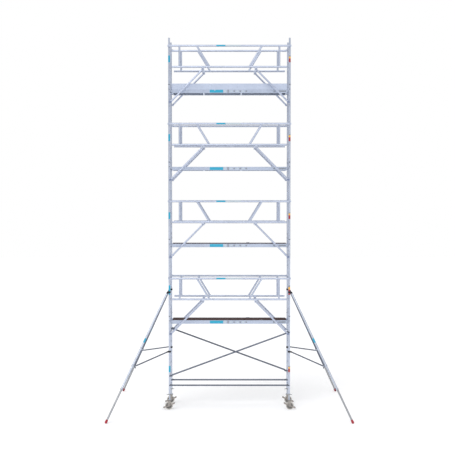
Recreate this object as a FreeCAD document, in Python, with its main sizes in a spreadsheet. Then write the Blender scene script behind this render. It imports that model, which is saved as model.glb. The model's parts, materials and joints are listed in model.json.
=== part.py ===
import FreeCAD, Part
import math
import os
import Sketcher

# A narrow rolling tower of aluminium tube: four lifts of welded ladder frames, hook-on
# platforms with hinged hatches, guardrail frames with folding struts, two pairs of braces,
# four telescopic outriggers and four braked castors on screw jacks.
# X runs along the platforms, Y across them, Z up; the origin is on the ground under the middle.

os.makedirs("parts", exist_ok=True)
doc = FreeCAD.newDocument("rolling_tower")
sheet = doc.addObject("Spreadsheet::Sheet", "sizes")

LIFTS = 4
RUNGS = 7
SIDES = (("left", -1), ("right", 1))
CORNERS = (("front_left", -1, -1), ("front_right", 1, -1), ("back_left", -1, 1), ("back_right", 1, 1))
X_AXIS = (1, 0, 0)
Y_AXIS = (0, 1, 0)
Z_AXIS = (0, 0, 1)

# ---------------------------------------------------------------------------- driving sizes
DRIVING_SIZES = (
    # the tower
    ("bay_length", 3050, "post centres along the tower"),
    ("frame_width", 750, "post centres across the tower"),
    ("foot_height", 405, "foot of the lowest frames above the ground"),
    ("lift_height", 1960, "height of one ladder frame"),
    ("top_frame_height", 1050, "height of the short frames at the top"),
    ("seat_play", 0.3, "gap between curved faces that fit together"),
    # ladder frames
    ("post_diameter", 50.8, "post tube, outside"),
    ("post_wall", 2, "post tube, wall"),
    ("rung_diameter", 30, "rung tube, outside"),
    ("rung_wall", 2, "rung tube, wall"),
    ("rung_pitch", 280, "rung to rung"),
    ("first_rung", 140, "lowest rung above the foot of its frame"),
    ("top_rung_diameter", 38, "rungs of the short frames"),
    ("top_rung_low", 470, "lower rung of a short frame above its foot"),
    ("top_rung_high", 990, "upper rung of a short frame above its foot"),
    ("spigot_diameter", 46.2, "spigot above a joint, outside"),
    ("spigot_bore", 40, "spigot, inside"),
    ("press_play", 0.05, "gap round a spigot where it is pressed into its post"),
    ("spigot_reach", 150, "spigot length each side of a joint"),
    ("lock_diameter", 8, "spring lock pin"),
    ("lock_height", 30, "lock pin above a joint"),
    ("lock_tail", 10, "lock pin standing out each side of the post"),
    # guardrail frames
    ("guard_offset", 60, "guardrail plane outside the post line"),
    ("guard_height", 1083, "top rail above the deck"),
    ("knee_drop", 530, "knee rail below the top rail"),
    ("rail_diameter", 50.8, "rails, outside"),
    ("rail_wall", 2, "rails and stiles, wall"),
    ("rail_setback", 60, "top rail end short of the post centre"),
    ("knee_setback", 85, "knee rail end short of the post centre"),
    ("plug_length", 5, "end plug of a knee rail"),
    ("stile_diameter", 48, "stiles and slanted stays"),
    ("stile_reach", 1260, "stile from the middle of the frame"),
    ("stay_top_reach", 825, "slanted stay at the top rail"),
    ("stay_foot_reach", 500, "slanted stay at the knee rail"),
    ("claw_wall", 12, "metal round a claw's saddle"),
    ("claw_height", 44, "height of a guardrail claw"),
    ("jaw_reach", 12, "jaw length past the post centre"),
    # folding struts under the guardrails
    ("strut_diameter", 45, "strut tube, outside"),
    ("strut_wall", 2, "strut tube, wall"),
    ("pivot_reach", 671, "strut pivot from the middle of the frame"),
    ("pivot_drop", 58, "strut pivot below the knee rail"),
    ("pivot_pin_diameter", 12, "strut pivot pin"),
    ("pivot_tail", 15, "strut tube beyond its pivot"),
    ("lug_thickness", 6, "cheek plates of a strut pivot"),
    ("lug_width", 70, "cheek plates along the rail"),
    ("lug_skirt", 24, "cheek plates below the pivot"),
    ("strut_rung", 5, "rungs between the lowest one and a strut's foot"),
    ("strut_setback", 38, "strut foot short of the post centre"),
    ("strut_claw_length", 70, "strut claw along the tower"),
    ("strut_claw_height", 38, "strut claw, height"),
    ("strut_claw_grip", 2.4, "strut claw reaching in past the post's outer face"),
    # platforms
    ("deck_width", 600, "platform over its side beams"),
    ("deck_setback", 60, "beam end short of the post centre"),
    ("deck_rise", 50, "deck surface above the rung it hangs on"),
    ("beam_drop", 38, "beam underside below the rung centre"),
    ("beam_width", 30, "side and end beams"),
    ("beam_wall", 2, "beams, wall"),
    ("ledge_reach", 12, "ledge that carries the plywood"),
    ("ledge_thickness", 4, "ledge that carries the plywood"),
    ("plywood_thickness", 12, "deck panels and lid"),
    ("member_width", 40, "cross members"),
    ("middle_member", -653, "cross member under the fixed panel"),
    ("hatch_left_member", 302, "cross member left of the hatch"),
    ("hatch_right_member", 1320, "cross member right of the hatch"),
    ("panel_play", 2, "gap round a loose panel"),
    ("hook_wall", 12, "metal round a deck hook's throat"),
    ("hook_tip", 14, "hook tip below the rung centre"),
    # hatch lid
    ("hinge_line", 274, "lid hinge from the middle of the deck"),
    ("hinge_radius", 6, "hinge knuckle"),
    ("hinge_pin_diameter", 6, "hinge pin"),
    ("hinge_spread", 330, "hinges from the middle of the lid"),
    ("knuckle_length", 40, "knuckle on the lid"),
    ("leaf_length", 34, "hinge leaf over the lid"),
    ("leaf_thickness", 3, "hinge leaf and latch plate"),
    ("latch_length", 90, "latch plate along the lid"),
    ("latch_width", 36, "latch plate across the lid"),
    ("latch_setback", 40, "latch plate from the lid's free edge"),
    # toe boards
    ("toe_height", 150, "toe boards"),
    ("toe_thickness", 18, "toe boards"),
    ("toe_wall", 2, "toe boards, hollow sections"),
    # braces
    ("brace_diameter", 40, "brace tube, outside"),
    ("brace_wall", 2, "brace tube, wall"),
    ("brace_claw_depth", 55, "brace claw from the post centre inwards"),
    ("brace_claw_height", 30, "brace claw, height"),
    ("brace_claw_wall", 7.3, "metal beside a brace claw's saddle"),
    ("level_brace_height", 215, "level braces above the foot of the first frames"),
    ("slant_brace_low", 457, "lower end of the slanted braces, likewise"),
    ("slant_brace_high", 1577, "upper end of the slanted braces, likewise"),
    # castors
    ("wheel_diameter", 200, "castor wheel"),
    ("wheel_width", 50, "castor wheel"),
    ("tyre_depth", 22, "thickness of the tyre"),
    ("hub_width", 58, "wheel hub along the axle"),
    ("axle_diameter", 16, "castor axle"),
    ("castor_trail", 20, "axle outside the post centre"),
    ("cheek_thickness", 6, "fork cheeks"),
    ("cheek_width", 64, "fork cheeks at the axle"),
    ("head_diameter", 90, "castor head"),
    ("head_gap", 25, "castor head above the wheel"),
    ("head_thickness", 24.7, "castor head"),
    ("spindle_diameter", 38, "jack spindle"),
    ("spindle_wall", 5, "jack spindle, wall"),
    ("spindle_top", 705, "jack spindle, upper end inside the post"),
    ("flange_diameter", 76, "spindle flange on the castor head"),
    ("flange_thickness", 6, "spindle flange on the castor head"),
    ("nut_height", 34, "wing nut under the post"),
    ("nut_diameter", 66, "wing nut body"),
    ("wing_reach", 78, "wing nut over its wings, radius"),
    ("wing_thickness", 10, "wings of the wing nut"),
    ("pedal_thickness", 5, "brake pedal arms"),
    ("pedal_arm_width", 26, "brake pedal arms"),
    ("pedal_out_x", 125, "outer pad from the axle, level"),
    ("pedal_out_drop", 52, "outer pad below the axle"),
    ("pedal_in_x", 138, "inner pad from the axle, level"),
    ("pedal_in_rise", 57, "inner pad above the axle"),
    ("pad_length", 34, "brake pads"),
    ("pad_thickness", 8, "brake pads"),
    ("pedal_gap", 0.5, "brake arms beside the fork cheeks"),
    # outriggers
    ("outrigger_angle", 47.3, "plan angle of an outrigger from the tower's length"),
    ("outrigger_reach", 2112, "foot from the post centre, in plan"),
    ("outrigger_top", 3005, "upper coupler above the ground"),
    ("outrigger_middle", 1485, "lower coupler above the ground"),
    ("coupler_diameter", 68, "coupler ring, outside"),
    ("coupler_height", 45, "coupler ring"),
    ("coupler_lug", 16, "coupler lug, thickness"),
    ("coupler_reach", 70, "coupler bolt from the post centre"),
    ("coupler_bolt", 12, "coupler bolts"),
    ("leg_diameter", 50, "outer leg tube"),
    ("leg_wall", 2, "outer and inner leg tubes"),
    ("leg_tube_length", 2745, "outer leg tube's lower end from the upper bolt"),
    ("leg_overlap", 600, "inner tube inside the outer one"),
    ("stay_diameter", 32, "outrigger stay tube"),
    ("stay_wall", 2, "outrigger stay tube"),
    ("clamp_distance", 2085, "stay clamp from the upper bolt along the leg"),
    ("clamp_diameter", 66, "stay clamp and lock collar, outside"),
    ("clamp_length", 40, "stay clamp along the leg"),
    ("clamp_reach", 55, "stay bolt from the leg's centre line"),
    ("knob_diameter", 30, "lock knob"),
    ("knob_reach", 66, "lock knob from the leg's centre line"),
    ("fork_depth", 26, "slot in a fork end past the bolt"),
    ("fork_length", 70, "fork end past the bolt"),
    ("fork_tail", 17, "fork end before the bolt"),
    ("foot_radius", 32, "rubber foot"),
    ("boot_length", 60, "rubber foot along the leg"),
)


class Size:
    """A length or angle, held as a number and as the sheet expression that gives it."""

    def __init__(self, text, number):
        self.text = text
        self.number = number

    def __add__(self, other):
        other = as_size(other)
        return Size(f"({self.text} + {other.text})", self.number + other.number)

    def __sub__(self, other):
        other = as_size(other)
        return Size(f"({self.text} - {other.text})", self.number - other.number)

    def __mul__(self, other):
        other = as_size(other)
        return Size(f"({self.text} * {other.text})", self.number * other.number)

    def __truediv__(self, other):
        other = as_size(other)
        return Size(f"({self.text} / {other.text})", self.number / other.number)

    def __neg__(self):
        return Size(f"(0 - {self.text})", -self.number)

    def __radd__(self, other):
        return as_size(other) + self

    def __rsub__(self, other):
        return as_size(other) - self

    def __rmul__(self, other):
        return as_size(other) * self


class Sizes:
    """The sheet's driving sizes by name."""


def as_size(value):
    if isinstance(value, Size):
        return value
    return Size(f"({float(value)})", float(value))


def root(value):
    return Size(f"sqrt({value.text})", math.sqrt(value.number))


def sine(angle):
    return Size(f"sin({angle.text} * 1 deg)", math.sin(math.radians(angle.number)))


def cosine(angle):
    return Size(f"cos({angle.text} * 1 deg)", math.cos(math.radians(angle.number)))


def turn_from_up(drop, length):
    """The angle between straight up and a line that falls by drop over its length."""
    return Size(f"acos((0 - {drop.text}) / {length.text})",
                math.degrees(math.acos(-drop.number / length.number)))


d = Sizes()
for row, (alias, number, note) in enumerate(DRIVING_SIZES, start=1):
    sheet.set(f"A{row}", alias)
    sheet.set(f"B{row}", str(number))
    sheet.set(f"C{row}", note)
    sheet.setAlias(f"B{row}", alias)
doc.recompute()
for alias, number, note in DRIVING_SIZES:
    setattr(d, alias, Size(f"sizes.{alias}", float(sheet.get(alias))))


# ---------------------------------------------------------------------------- building blocks
def bind(piece, property_name, value):
    piece.setExpression(property_name, as_size(value).text)


def vector_text(x, y, z):
    return f"vector({as_size(x).text}; {as_size(y).text}; {as_size(z).text})"


def bind_place(piece, x, y, z, axis=None, angle=0):
    """Bind a piece's Placement to the sheet: a turn about an axis, then a move."""
    axis = axis or Z_AXIS
    turn = f"rotation({vector_text(*axis)}; {as_size(angle).text})"
    piece.setExpression("Placement", f"placement({vector_text(x, y, z)}; {turn})")


def bar(name, diameter, start, end):
    """A solid round bar between two points."""
    piece = doc.addObject("Part::Cylinder", name)
    dx, dy, dz = [as_size(b) - as_size(a) for a, b in zip(start, end)]
    length = root(dx * dx + dy * dy + dz * dz)
    bind(piece, "Radius", as_size(diameter) / 2)
    bind(piece, "Height", length)
    if abs(dx.number) < 1e-9 and abs(dy.number) < 1e-9:
        bind_place(piece, *start)
    else:
        lean = Size(f"acos({dz.text} / {length.text})", 0)
        bind_place(piece, *start, axis=(-dy, dx, 0), angle=lean)
    return piece


def cut(name, base, *tools):
    piece = doc.addObject("Part::Cut", name)
    piece.Base = base
    piece.Tool = tools[0] if len(tools) == 1 else group(f"{name}_tools", tools)
    return piece


def fuse(name, *pieces):
    piece = doc.addObject("Part::MultiFuse", name)
    piece.Shapes = list(pieces)
    return piece


def group(name, pieces):
    """Pieces that stay separate solids in one compound."""
    piece = doc.addObject("Part::Compound", name)
    piece.Links = list(pieces)
    return piece


def placed(name, source, x=0, y=0, z=0, axis=None, angle=0):
    """The source moved to another place."""
    piece = group(name, [source])
    bind_place(piece, x, y, z, axis, angle)
    return piece


def mirrored(name, source, axis):
    """The source mirrored through the origin across an axis."""
    piece = doc.addObject("Part::Mirroring", name)
    piece.Source = source
    piece.Normal = axis
    return piece


def tube(name, diameter, wall, start, end):
    outside = bar(f"{name}_outside", diameter, start, end)
    bore = bar(f"{name}_bore", as_size(diameter) - 2 * as_size(wall), start, end)
    return cut(name, outside, bore)


def block(name, low, high):
    """A box between two corners."""
    piece = doc.addObject("Part::Box", name)
    for side, a, b in zip(("Length", "Width", "Height"), low, high):
        bind(piece, side, as_size(b) - as_size(a))
    bind_place(piece, *low)
    return piece


def hollow_beam(name, low, high, wall):
    """A rectangular tube along Y."""
    outside = block(f"{name}_outside", low, high)
    inside = block(f"{name}_inside", (low[0] + wall, low[1], low[2] + wall),
                   (high[0] - wall, high[1], high[2] - wall))
    return cut(name, outside, inside)


def origin_part(body, role):
    return [part for part in body.Origin.OriginFeatures if part.Role == role][0]


def new_sketch(body, name, plane):
    sketch = body.newObject("Sketcher::SketchObject", name)
    sketch.AttachmentSupport = [(origin_part(body, plane), "")]
    sketch.MapMode = "FlatFace"
    return sketch


def draw_outline(sketch, corners):
    """A closed outline of straight lines; every corner is bound to the sheet."""
    corners = [(as_size(x), as_size(y)) for x, y in corners]
    points = [FreeCAD.Vector(x.number, y.number, 0) for x, y in corners]
    first = sketch.GeometryCount
    for step, point in enumerate(points):
        sketch.addGeometry(Part.LineSegment(point, points[(step + 1) % len(points)]))
    for step, corner in enumerate(corners):
        line = first + step
        following = first + (step + 1) % len(corners)
        sketch.addConstraint(Sketcher.Constraint("Coincident", line, 2, following, 1))
        for kind, value in zip(("DistanceX", "DistanceY"), corner):
            place = sketch.addConstraint(Sketcher.Constraint(kind, -1, 1, line, 1, value.number))
            sketch.setExpression(f"Constraints[{place}]", value.text)


def pad(body, name, sketch, length, both_ways=False):
    piece = body.newObject("PartDesign::Pad", name)
    piece.Profile = sketch
    piece.SideType = "Symmetric" if both_ways else "One side"
    bind(piece, "Length", length)
    return piece


def turned_body(name, corners):
    """A body turned about its Z axis from a half outline."""
    body = doc.addObject("PartDesign::Body", name)
    sketch = new_sketch(body, f"{name}_outline", "XZ_Plane")
    draw_outline(sketch, corners)
    turned = body.newObject("PartDesign::Revolution", f"{name}_turn")
    turned.Profile = sketch
    turned.ReferenceAxis = (origin_part(body, "Z_Axis"), [""])
    turned.Angle = 360
    return body


nodes = []


def node(name, pieces, x=0, y=0, z=0, axis=None, angle=0):
    """A sub-part that is written to its own file."""
    piece = group(f"node_{name}", pieces)
    piece.Label = name
    bind_place(piece, x, y, z, axis, angle)
    nodes.append(piece)
    return piece


# ---------------------------------------------------------------------------- places used by all
half_bay = d.bay_length / 2
half_width = d.frame_width / 2
post_radius = d.post_diameter / 2
saddle_radius = post_radius + d.seat_play
deck_rung = d.first_rung + (RUNGS - 1) * d.rung_pitch
deck_top = deck_rung + d.deck_rise
top_foot = d.foot_height + LIFTS * d.lift_height


def lift_foot(lift):
    """Height of the foot of a lift's frames; lifts count from 0."""
    return d.foot_height + lift * d.lift_height


# ---------------------------------------------------------------------------- ladder frames
# One frame stands in its own plane: two drilled posts, welded rungs, a spigot in the top of
# each post and the spring pins that lock the next frame to it.
def post_bore(name, height):
    return bar(name, d.lock_diameter + 2 * d.seat_play, (-d.post_diameter, -half_width, height),
               (d.post_diameter, -half_width, height))


def both_posts(name, front_piece):
    return [front_piece, placed(f"{name}_back", front_piece, y=d.frame_width)]


def welded_rung(name, diameter):
    """A rung along Y at height 0, its ends shaped to the posts."""
    raw = tube(f"{name}_raw", diameter, d.rung_wall, (0, -half_width, 0), (0, half_width, 0))
    cutters = [bar(f"{name}_cope_{label}", d.post_diameter, (0, side * half_width, -d.post_diameter),
                   (0, side * half_width, d.post_diameter)) for label, side in SIDES]
    return cut(name, raw, *cutters)


pressed_radius = post_radius - d.post_wall - d.press_play
spigot_tube = turned_body("spigot_tube", [
    (d.spigot_bore / 2, -d.spigot_reach),
    (pressed_radius, -d.spigot_reach),
    (pressed_radius, 0),
    (d.spigot_diameter / 2, 0),
    (d.spigot_diameter / 2, d.spigot_reach),
    (d.spigot_bore / 2, d.spigot_reach)])


def ladder_frame(name, height, rung, rung_heights, locked):
    """One frame with its foot at height 0."""
    post = cut(f"{name}_post",
               tube(f"{name}_post_raw", d.post_diameter, d.post_wall, (0, -half_width, 0),
                    (0, -half_width, height)),
               post_bore(f"{name}_post_bore", d.lock_height))
    spigot = cut(f"{name}_spigot",
                 placed(f"{name}_spigot_raw", spigot_tube, y=-half_width, z=height),
                 post_bore(f"{name}_spigot_bore", height + d.lock_height))
    pieces = both_posts(f"{name}_post", post) + both_posts(f"{name}_spigot", spigot)
    if locked:
        reach = post_radius + d.lock_tail
        pin = bar(f"{name}_lock", d.lock_diameter, (-reach, -half_width, height + d.lock_height),
                  (reach, -half_width, height + d.lock_height))
        pieces += both_posts(f"{name}_lock", pin)
    for count, rung_height in enumerate(rung_heights, start=1):
        pieces.append(placed(f"{name}_rung_{count}", rung, z=rung_height))
    return group(name, pieces)


rung = welded_rung("rung", d.rung_diameter)
end_frame = ladder_frame("end_frame", d.lift_height, rung,
                         [d.first_rung + count * d.rung_pitch for count in range(RUNGS)], True)
top_rung = welded_rung("top_rung", d.top_rung_diameter)
short_frame = ladder_frame("short_frame", d.top_frame_height, top_rung,
                           [d.top_rung_low, d.top_rung_high], False)


def both_ends(name, frame):
    return [placed(f"{name}_{label}", frame, x=side * half_bay) for label, side in SIDES]


for lift in range(LIFTS):
    node(f"end_frames_{lift + 1}", both_ends(f"frame_{lift + 1}", end_frame), z=lift_foot(lift))
node("top_end_frames", both_ends("short", short_frame), z=top_foot)

# ---------------------------------------------------------------------------- guardrail frames
# Drawn on the front side above the foot of a lift's frames, then mirrored to the back.
guard_plane = half_width + d.guard_offset
guard_top = deck_top + d.guard_height
knee = guard_top - d.knee_drop
pivot = knee - d.pivot_drop
rail_radius = d.rail_diameter / 2
top_end = half_bay - d.rail_setback
knee_end = half_bay - d.knee_setback


def along_rail(height, reach):
    return (-reach, -guard_plane, height), (reach, -guard_plane, height)


def across_rail(x, height, reach):
    return (x, -guard_plane - reach, height), (x, -guard_plane + reach, height)


def coped_stile(name, top_x, foot_x):
    """A tube between the two rails, its ends shaped to them."""
    raw = tube(f"{name}_raw", d.stile_diameter, d.rail_wall, (foot_x, -guard_plane, knee),
               (top_x, -guard_plane, guard_top))
    return cut(name, raw, top_rail_cope, knee_rail_cope)


top_rail = tube("top_rail", d.rail_diameter, d.rail_wall, *along_rail(guard_top, top_end))
knee_rail = tube("knee_rail", d.rail_diameter, d.rail_wall, *along_rail(knee, knee_end))
top_rail_cope = bar("top_rail_cope", d.rail_diameter, *along_rail(guard_top, top_end))
knee_rail_cope = bar("knee_rail_cope", d.rail_diameter, *along_rail(knee, knee_end))
rail_plug = bar("rail_plug", d.rail_diameter, (knee_end, -guard_plane, knee),
                (knee_end + d.plug_length, -guard_plane, knee))
rail_claw = cut("rail_claw",
                block("rail_claw_body",
                      (top_end, -guard_plane - rail_radius, guard_top - d.claw_height / 2),
                      (half_bay + saddle_radius + d.claw_wall, -half_width + d.jaw_reach,
                       guard_top + d.claw_height / 2)),
                bar("rail_claw_saddle", 2 * saddle_radius,
                    (half_bay, -half_width, guard_top - d.claw_height),
                    (half_bay, -half_width, guard_top + d.claw_height)),
                block("rail_claw_mouth",
                      (half_bay - saddle_radius, -half_width, guard_top - d.claw_height),
                      (half_bay + saddle_radius, half_width, guard_top + d.claw_height)))
pivot_bore = bar("pivot_bore", d.pivot_pin_diameter + 2 * d.seat_play,
                 *across_rail(d.pivot_reach, pivot, 2 * d.rail_diameter))


def pivot_lug(name, inner, outer):
    """One cheek plate beside the strut, welded to the knee rail."""
    plate = block(f"{name}_plate", (d.pivot_reach - d.lug_width / 2, inner, pivot - d.lug_skirt),
                  (d.pivot_reach + d.lug_width / 2, outer, knee + d.lug_thickness))
    return cut(name, plate, pivot_bore)


right_half = group("guard_right_half", [
    rail_claw,
    rail_plug,
    coped_stile("stile", d.stile_reach, d.stile_reach),
    coped_stile("stay", d.stay_top_reach, d.stay_foot_reach),
    pivot_lug("lug_front", -guard_plane - rail_radius - d.lug_thickness, -guard_plane - rail_radius),
    pivot_lug("lug_back", -guard_plane + rail_radius, -guard_plane + rail_radius + d.lug_thickness),
    bar("pivot_pin", d.pivot_pin_diameter,
        *across_rail(d.pivot_reach, pivot, rail_radius + 2 * d.lug_thickness))])
left_half = mirrored("guard_left_half", right_half, X_AXIS)
front_guard = group("front_guard", [top_rail, knee_rail, right_half, left_half])
back_guard = mirrored("back_guard", front_guard, Y_AXIS)
for lift in range(LIFTS):
    node(f"guardrails_{lift + 1}", [front_guard, back_guard], z=lift_foot(lift))

# ---------------------------------------------------------------------------- folding struts
# A strut hangs from its pivot under the knee rail and rests a claw against the outside of the post.
strut_foot = d.first_rung + d.strut_rung * d.rung_pitch
strut_run = half_bay - d.strut_setback - d.pivot_reach
strut_rise = pivot - strut_foot
strut_length = root(strut_run * strut_run + strut_rise * strut_rise)
claw_low = (half_bay - d.strut_claw_length, -guard_plane - rail_radius,
            strut_foot - d.strut_claw_height / 2)
claw_high = (half_bay, -half_width - post_radius + d.strut_claw_grip,
             strut_foot + d.strut_claw_height / 2)
strut_raw = tube("strut_raw", d.strut_diameter, d.strut_wall,
                 (d.pivot_reach - d.pivot_tail * strut_run / strut_length, -guard_plane,
                  pivot + d.pivot_tail * strut_rise / strut_length),
                 (half_bay - d.strut_setback, -guard_plane, strut_foot))
strut_tube = cut("strut_tube", strut_raw, pivot_bore, block("strut_stop", claw_low, claw_high))
strut_claw = cut("strut_claw", block("strut_claw_body", claw_low, claw_high),
                 bar("strut_saddle", 2 * saddle_radius,
                     (half_bay, -half_width, strut_foot - d.strut_claw_height),
                     (half_bay, -half_width, strut_foot + d.strut_claw_height)))
front_right_strut = group("front_right_strut", [strut_tube, strut_claw])
right_struts = group("right_struts", [front_right_strut,
                                      mirrored("back_right_strut", front_right_strut, Y_AXIS)])
left_struts = mirrored("left_struts", right_struts, X_AXIS)
for lift in range(LIFTS):
    node(f"guard_struts_left_{lift + 1}", [left_struts], z=lift_foot(lift))
    node(f"guard_struts_right_{lift + 1}", [right_struts], z=lift_foot(lift))

# ---------------------------------------------------------------------------- platforms
# Hollow side beams with a ledge, welded cross members and hooks that sit on the rungs.
deck_half = d.deck_width / 2
beam_end = half_bay - d.deck_setback
inner_face = deck_half - d.beam_width
ply_bottom = deck_top - d.plywood_thickness
beam_bottom = deck_rung - d.beam_drop

side_beam = doc.addObject("PartDesign::Body", "side_beam")
beam_outline = new_sketch(side_beam, "side_beam_outline", "YZ_Plane")
draw_outline(beam_outline, [
    (deck_half, deck_top),
    (deck_half, beam_bottom),
    (inner_face, beam_bottom),
    (inner_face, ply_bottom - d.ledge_thickness),
    (inner_face - d.ledge_reach, ply_bottom - d.ledge_thickness),
    (inner_face - d.ledge_reach, ply_bottom),
    (inner_face, ply_bottom),
    (inner_face, deck_top)])
draw_outline(beam_outline, [
    (deck_half - d.beam_wall, deck_top - d.beam_wall),
    (deck_half - d.beam_wall, beam_bottom + d.beam_wall),
    (inner_face + d.beam_wall, beam_bottom + d.beam_wall),
    (inner_face + d.beam_wall, deck_top - d.beam_wall)])
pad(side_beam, "side_beam_length", beam_outline, 2 * beam_end, both_ways=True)

ledges = group("ledge_space", [
    block(f"ledge_space_{label}", (-half_bay, side * inner_face - d.ledge_reach,
                                   ply_bottom - d.ledge_thickness),
          (half_bay, side * inner_face + d.ledge_reach, deck_top)) for label, side in SIDES])


def cross_member(name, middle, width):
    """A hollow member between the side beams, notched over their ledges."""
    raw = hollow_beam(f"{name}_raw", (middle - width / 2, -inner_face, beam_bottom),
                      (middle + width / 2, inner_face, ply_bottom), d.beam_wall)
    return cut(name, raw, ledges)


def deck_hook():
    """A hook on the end of the front right beam, open downwards over the rung."""
    throat = d.rung_diameter / 2 + d.seat_play
    near = (-deck_half, -inner_face)
    arm = block("hook_arm", (beam_end, near[0], deck_rung - d.hook_tip),
                (half_bay - throat, near[1], deck_rung + throat + d.hook_wall))
    crown = bar("hook_crown", 2 * (throat + d.hook_wall), (half_bay, near[0], deck_rung),
                (half_bay, near[1], deck_rung))
    bore = bar("hook_bore", 2 * throat, (half_bay, -d.deck_width, deck_rung),
               (half_bay, 0, deck_rung))
    mouth = block("hook_mouth", (half_bay - throat, -d.deck_width, beam_bottom - d.beam_width),
                  (half_bay + throat, 0, deck_rung))
    tip_trim = block("hook_tip_trim", (half_bay, -d.deck_width, beam_bottom - d.beam_width),
                     (half_bay + 2 * throat + d.hook_wall, 0, deck_rung - d.hook_tip))
    arm_trim = block("hook_arm_trim", (half_bay - 2 * throat - d.hook_wall, -d.deck_width,
                                       beam_bottom - d.beam_width),
                     (half_bay, 0, deck_rung - d.hook_tip))
    return cut("deck_hook", fuse("hook_blank", arm, crown), bore, fuse("hook_opening", mouth,
                                                                       tip_trim, arm_trim))


hinge_height = deck_top + d.hinge_radius + d.seat_play
hatch_left = d.hatch_left_member + d.member_width / 2
hatch_right = d.hatch_right_member - d.member_width / 2
lid_middle = (hatch_left + hatch_right) / 2
hinge_places = [("left", lid_middle - d.hinge_spread), ("right", lid_middle + d.hinge_spread)]
pin_bore_diameter = d.hinge_pin_diameter + 2 * d.seat_play


def hinge_bar(name, diameter, start, end):
    return bar(name, diameter, (start, d.hinge_line, hinge_height), (end, d.hinge_line, hinge_height))


def fixed_knuckle(name, start, end):
    """A hinge knuckle on a foot that stands on the side beam."""
    half_foot = d.hinge_line - inner_face
    foot = block(f"{name}_foot", (start, d.hinge_line - half_foot, deck_top),
                 (end, d.hinge_line + half_foot, hinge_height))
    barrel = hinge_bar(f"{name}_barrel", 2 * d.hinge_radius, start, end)
    bore = hinge_bar(f"{name}_bore", pin_bore_diameter, start, end)
    return cut(name, fuse(f"{name}_blank", foot, barrel), bore)


deck_frame_pieces = [
    side_beam,
    mirrored("front_side_beam", side_beam, Y_AXIS),
    cross_member("end_beam_left", d.beam_width / 2 - beam_end, d.beam_width),
    cross_member("end_beam_right", beam_end - d.beam_width / 2, d.beam_width),
    cross_member("member_middle", d.middle_member, d.member_width),
    cross_member("member_left_of_hatch", d.hatch_left_member, d.member_width),
    cross_member("member_right_of_hatch", d.hatch_right_member, d.member_width)]
front_right_hook = deck_hook()
right_hooks = group("right_hooks", [front_right_hook,
                                    mirrored("back_right_hook", front_right_hook, Y_AXIS)])
deck_frame_pieces += [right_hooks, mirrored("left_hooks", right_hooks, X_AXIS)]
for label, hinge_x in hinge_places:
    near = d.knuckle_length / 2 + d.seat_play
    far = near + d.knuckle_length / 2
    deck_frame_pieces += [
        fixed_knuckle(f"knuckle_{label}_1", hinge_x - far, hinge_x - near),
        fixed_knuckle(f"knuckle_{label}_2", hinge_x + near, hinge_x + far),
        hinge_bar(f"hinge_pin_{label}", d.hinge_pin_diameter, hinge_x - far, hinge_x + far)]

panel_half = inner_face - d.seat_play
fixed_panel = block("fixed_panel", (d.seat_play - beam_end, -panel_half, ply_bottom),
                    (hatch_left - d.panel_play, panel_half, deck_top))
end_panel = block("end_panel", (hatch_right + d.panel_play, -panel_half, ply_bottom),
                  (beam_end - d.seat_play, panel_half, deck_top))

lid_half = inner_face - d.panel_play
lid_panel = block("lid_panel", (hatch_left + d.panel_play, -lid_half, ply_bottom + d.seat_play),
                  (hatch_right - d.panel_play, lid_half, deck_top))


def lid_leaf(name, hinge_x):
    """A hinge leaf on top of the lid with its knuckle on the hinge line."""
    half = d.knuckle_length / 2
    leaf_bottom = deck_top + d.seat_play
    leaf = block(f"{name}_plate", (hinge_x - half, d.hinge_line - d.leaf_length, leaf_bottom),
                 (hinge_x + half, d.hinge_line, leaf_bottom + d.leaf_thickness))
    barrel = hinge_bar(f"{name}_barrel", 2 * d.hinge_radius, hinge_x - half, hinge_x + half)
    bore = hinge_bar(f"{name}_bore", pin_bore_diameter, hinge_x - half, hinge_x + half)
    return cut(name, fuse(f"{name}_blank", leaf, barrel), bore)


latch_low = d.latch_setback - lid_half
latch_plate = block("latch_plate", (lid_middle - d.latch_length / 2, latch_low, deck_top),
                    (lid_middle + d.latch_length / 2, latch_low + d.latch_width,
                     deck_top + d.leaf_thickness))
lid_pieces = [lid_panel, latch_plate]
lid_pieces += [lid_leaf(f"lid_leaf_{label}", hinge_x) for label, hinge_x in hinge_places]
for lift in range(LIFTS):
    node(f"deck_frame_{lift + 1}", deck_frame_pieces, z=lift_foot(lift))
    node(f"deck_panel_{lift + 1}", [fixed_panel, end_panel], z=lift_foot(lift))
    node(f"trapdoor_{lift + 1}", lid_pieces, z=lift_foot(lift))

# ---------------------------------------------------------------------------- toe boards
# They stand on the topmost platform, long ones on the side beams and short ones on the plywood.
toe_outside = deck_half - d.seat_play
toe_inside = toe_outside - d.toe_thickness
long_board = cut(
    "long_toe_board",
    block("long_toe_outside", (-beam_end, toe_inside, deck_top),
          (beam_end, toe_outside, deck_top + d.toe_height)),
    block("long_toe_inside", (-beam_end, toe_inside + d.toe_wall, deck_top + d.toe_wall),
          (beam_end, toe_outside - d.toe_wall, deck_top + d.toe_height - d.toe_wall)))
short_board = hollow_beam(
    "short_toe_board", (beam_end - d.toe_thickness, -toe_inside, deck_top),
    (beam_end, toe_inside, deck_top + d.toe_height), d.toe_wall)
node("toe_boards", [long_board, mirrored("front_toe_board", long_board, Y_AXIS),
                    short_board, mirrored("left_toe_board", short_board, X_AXIS)],
     z=lift_foot(LIFTS - 1))

# ---------------------------------------------------------------------------- braces
# Tubes in the post line of the first lift, with claws that grip the posts from between them.
claw_inner = half_bay - d.brace_claw_depth
claw_half = saddle_radius + d.brace_claw_wall


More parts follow.
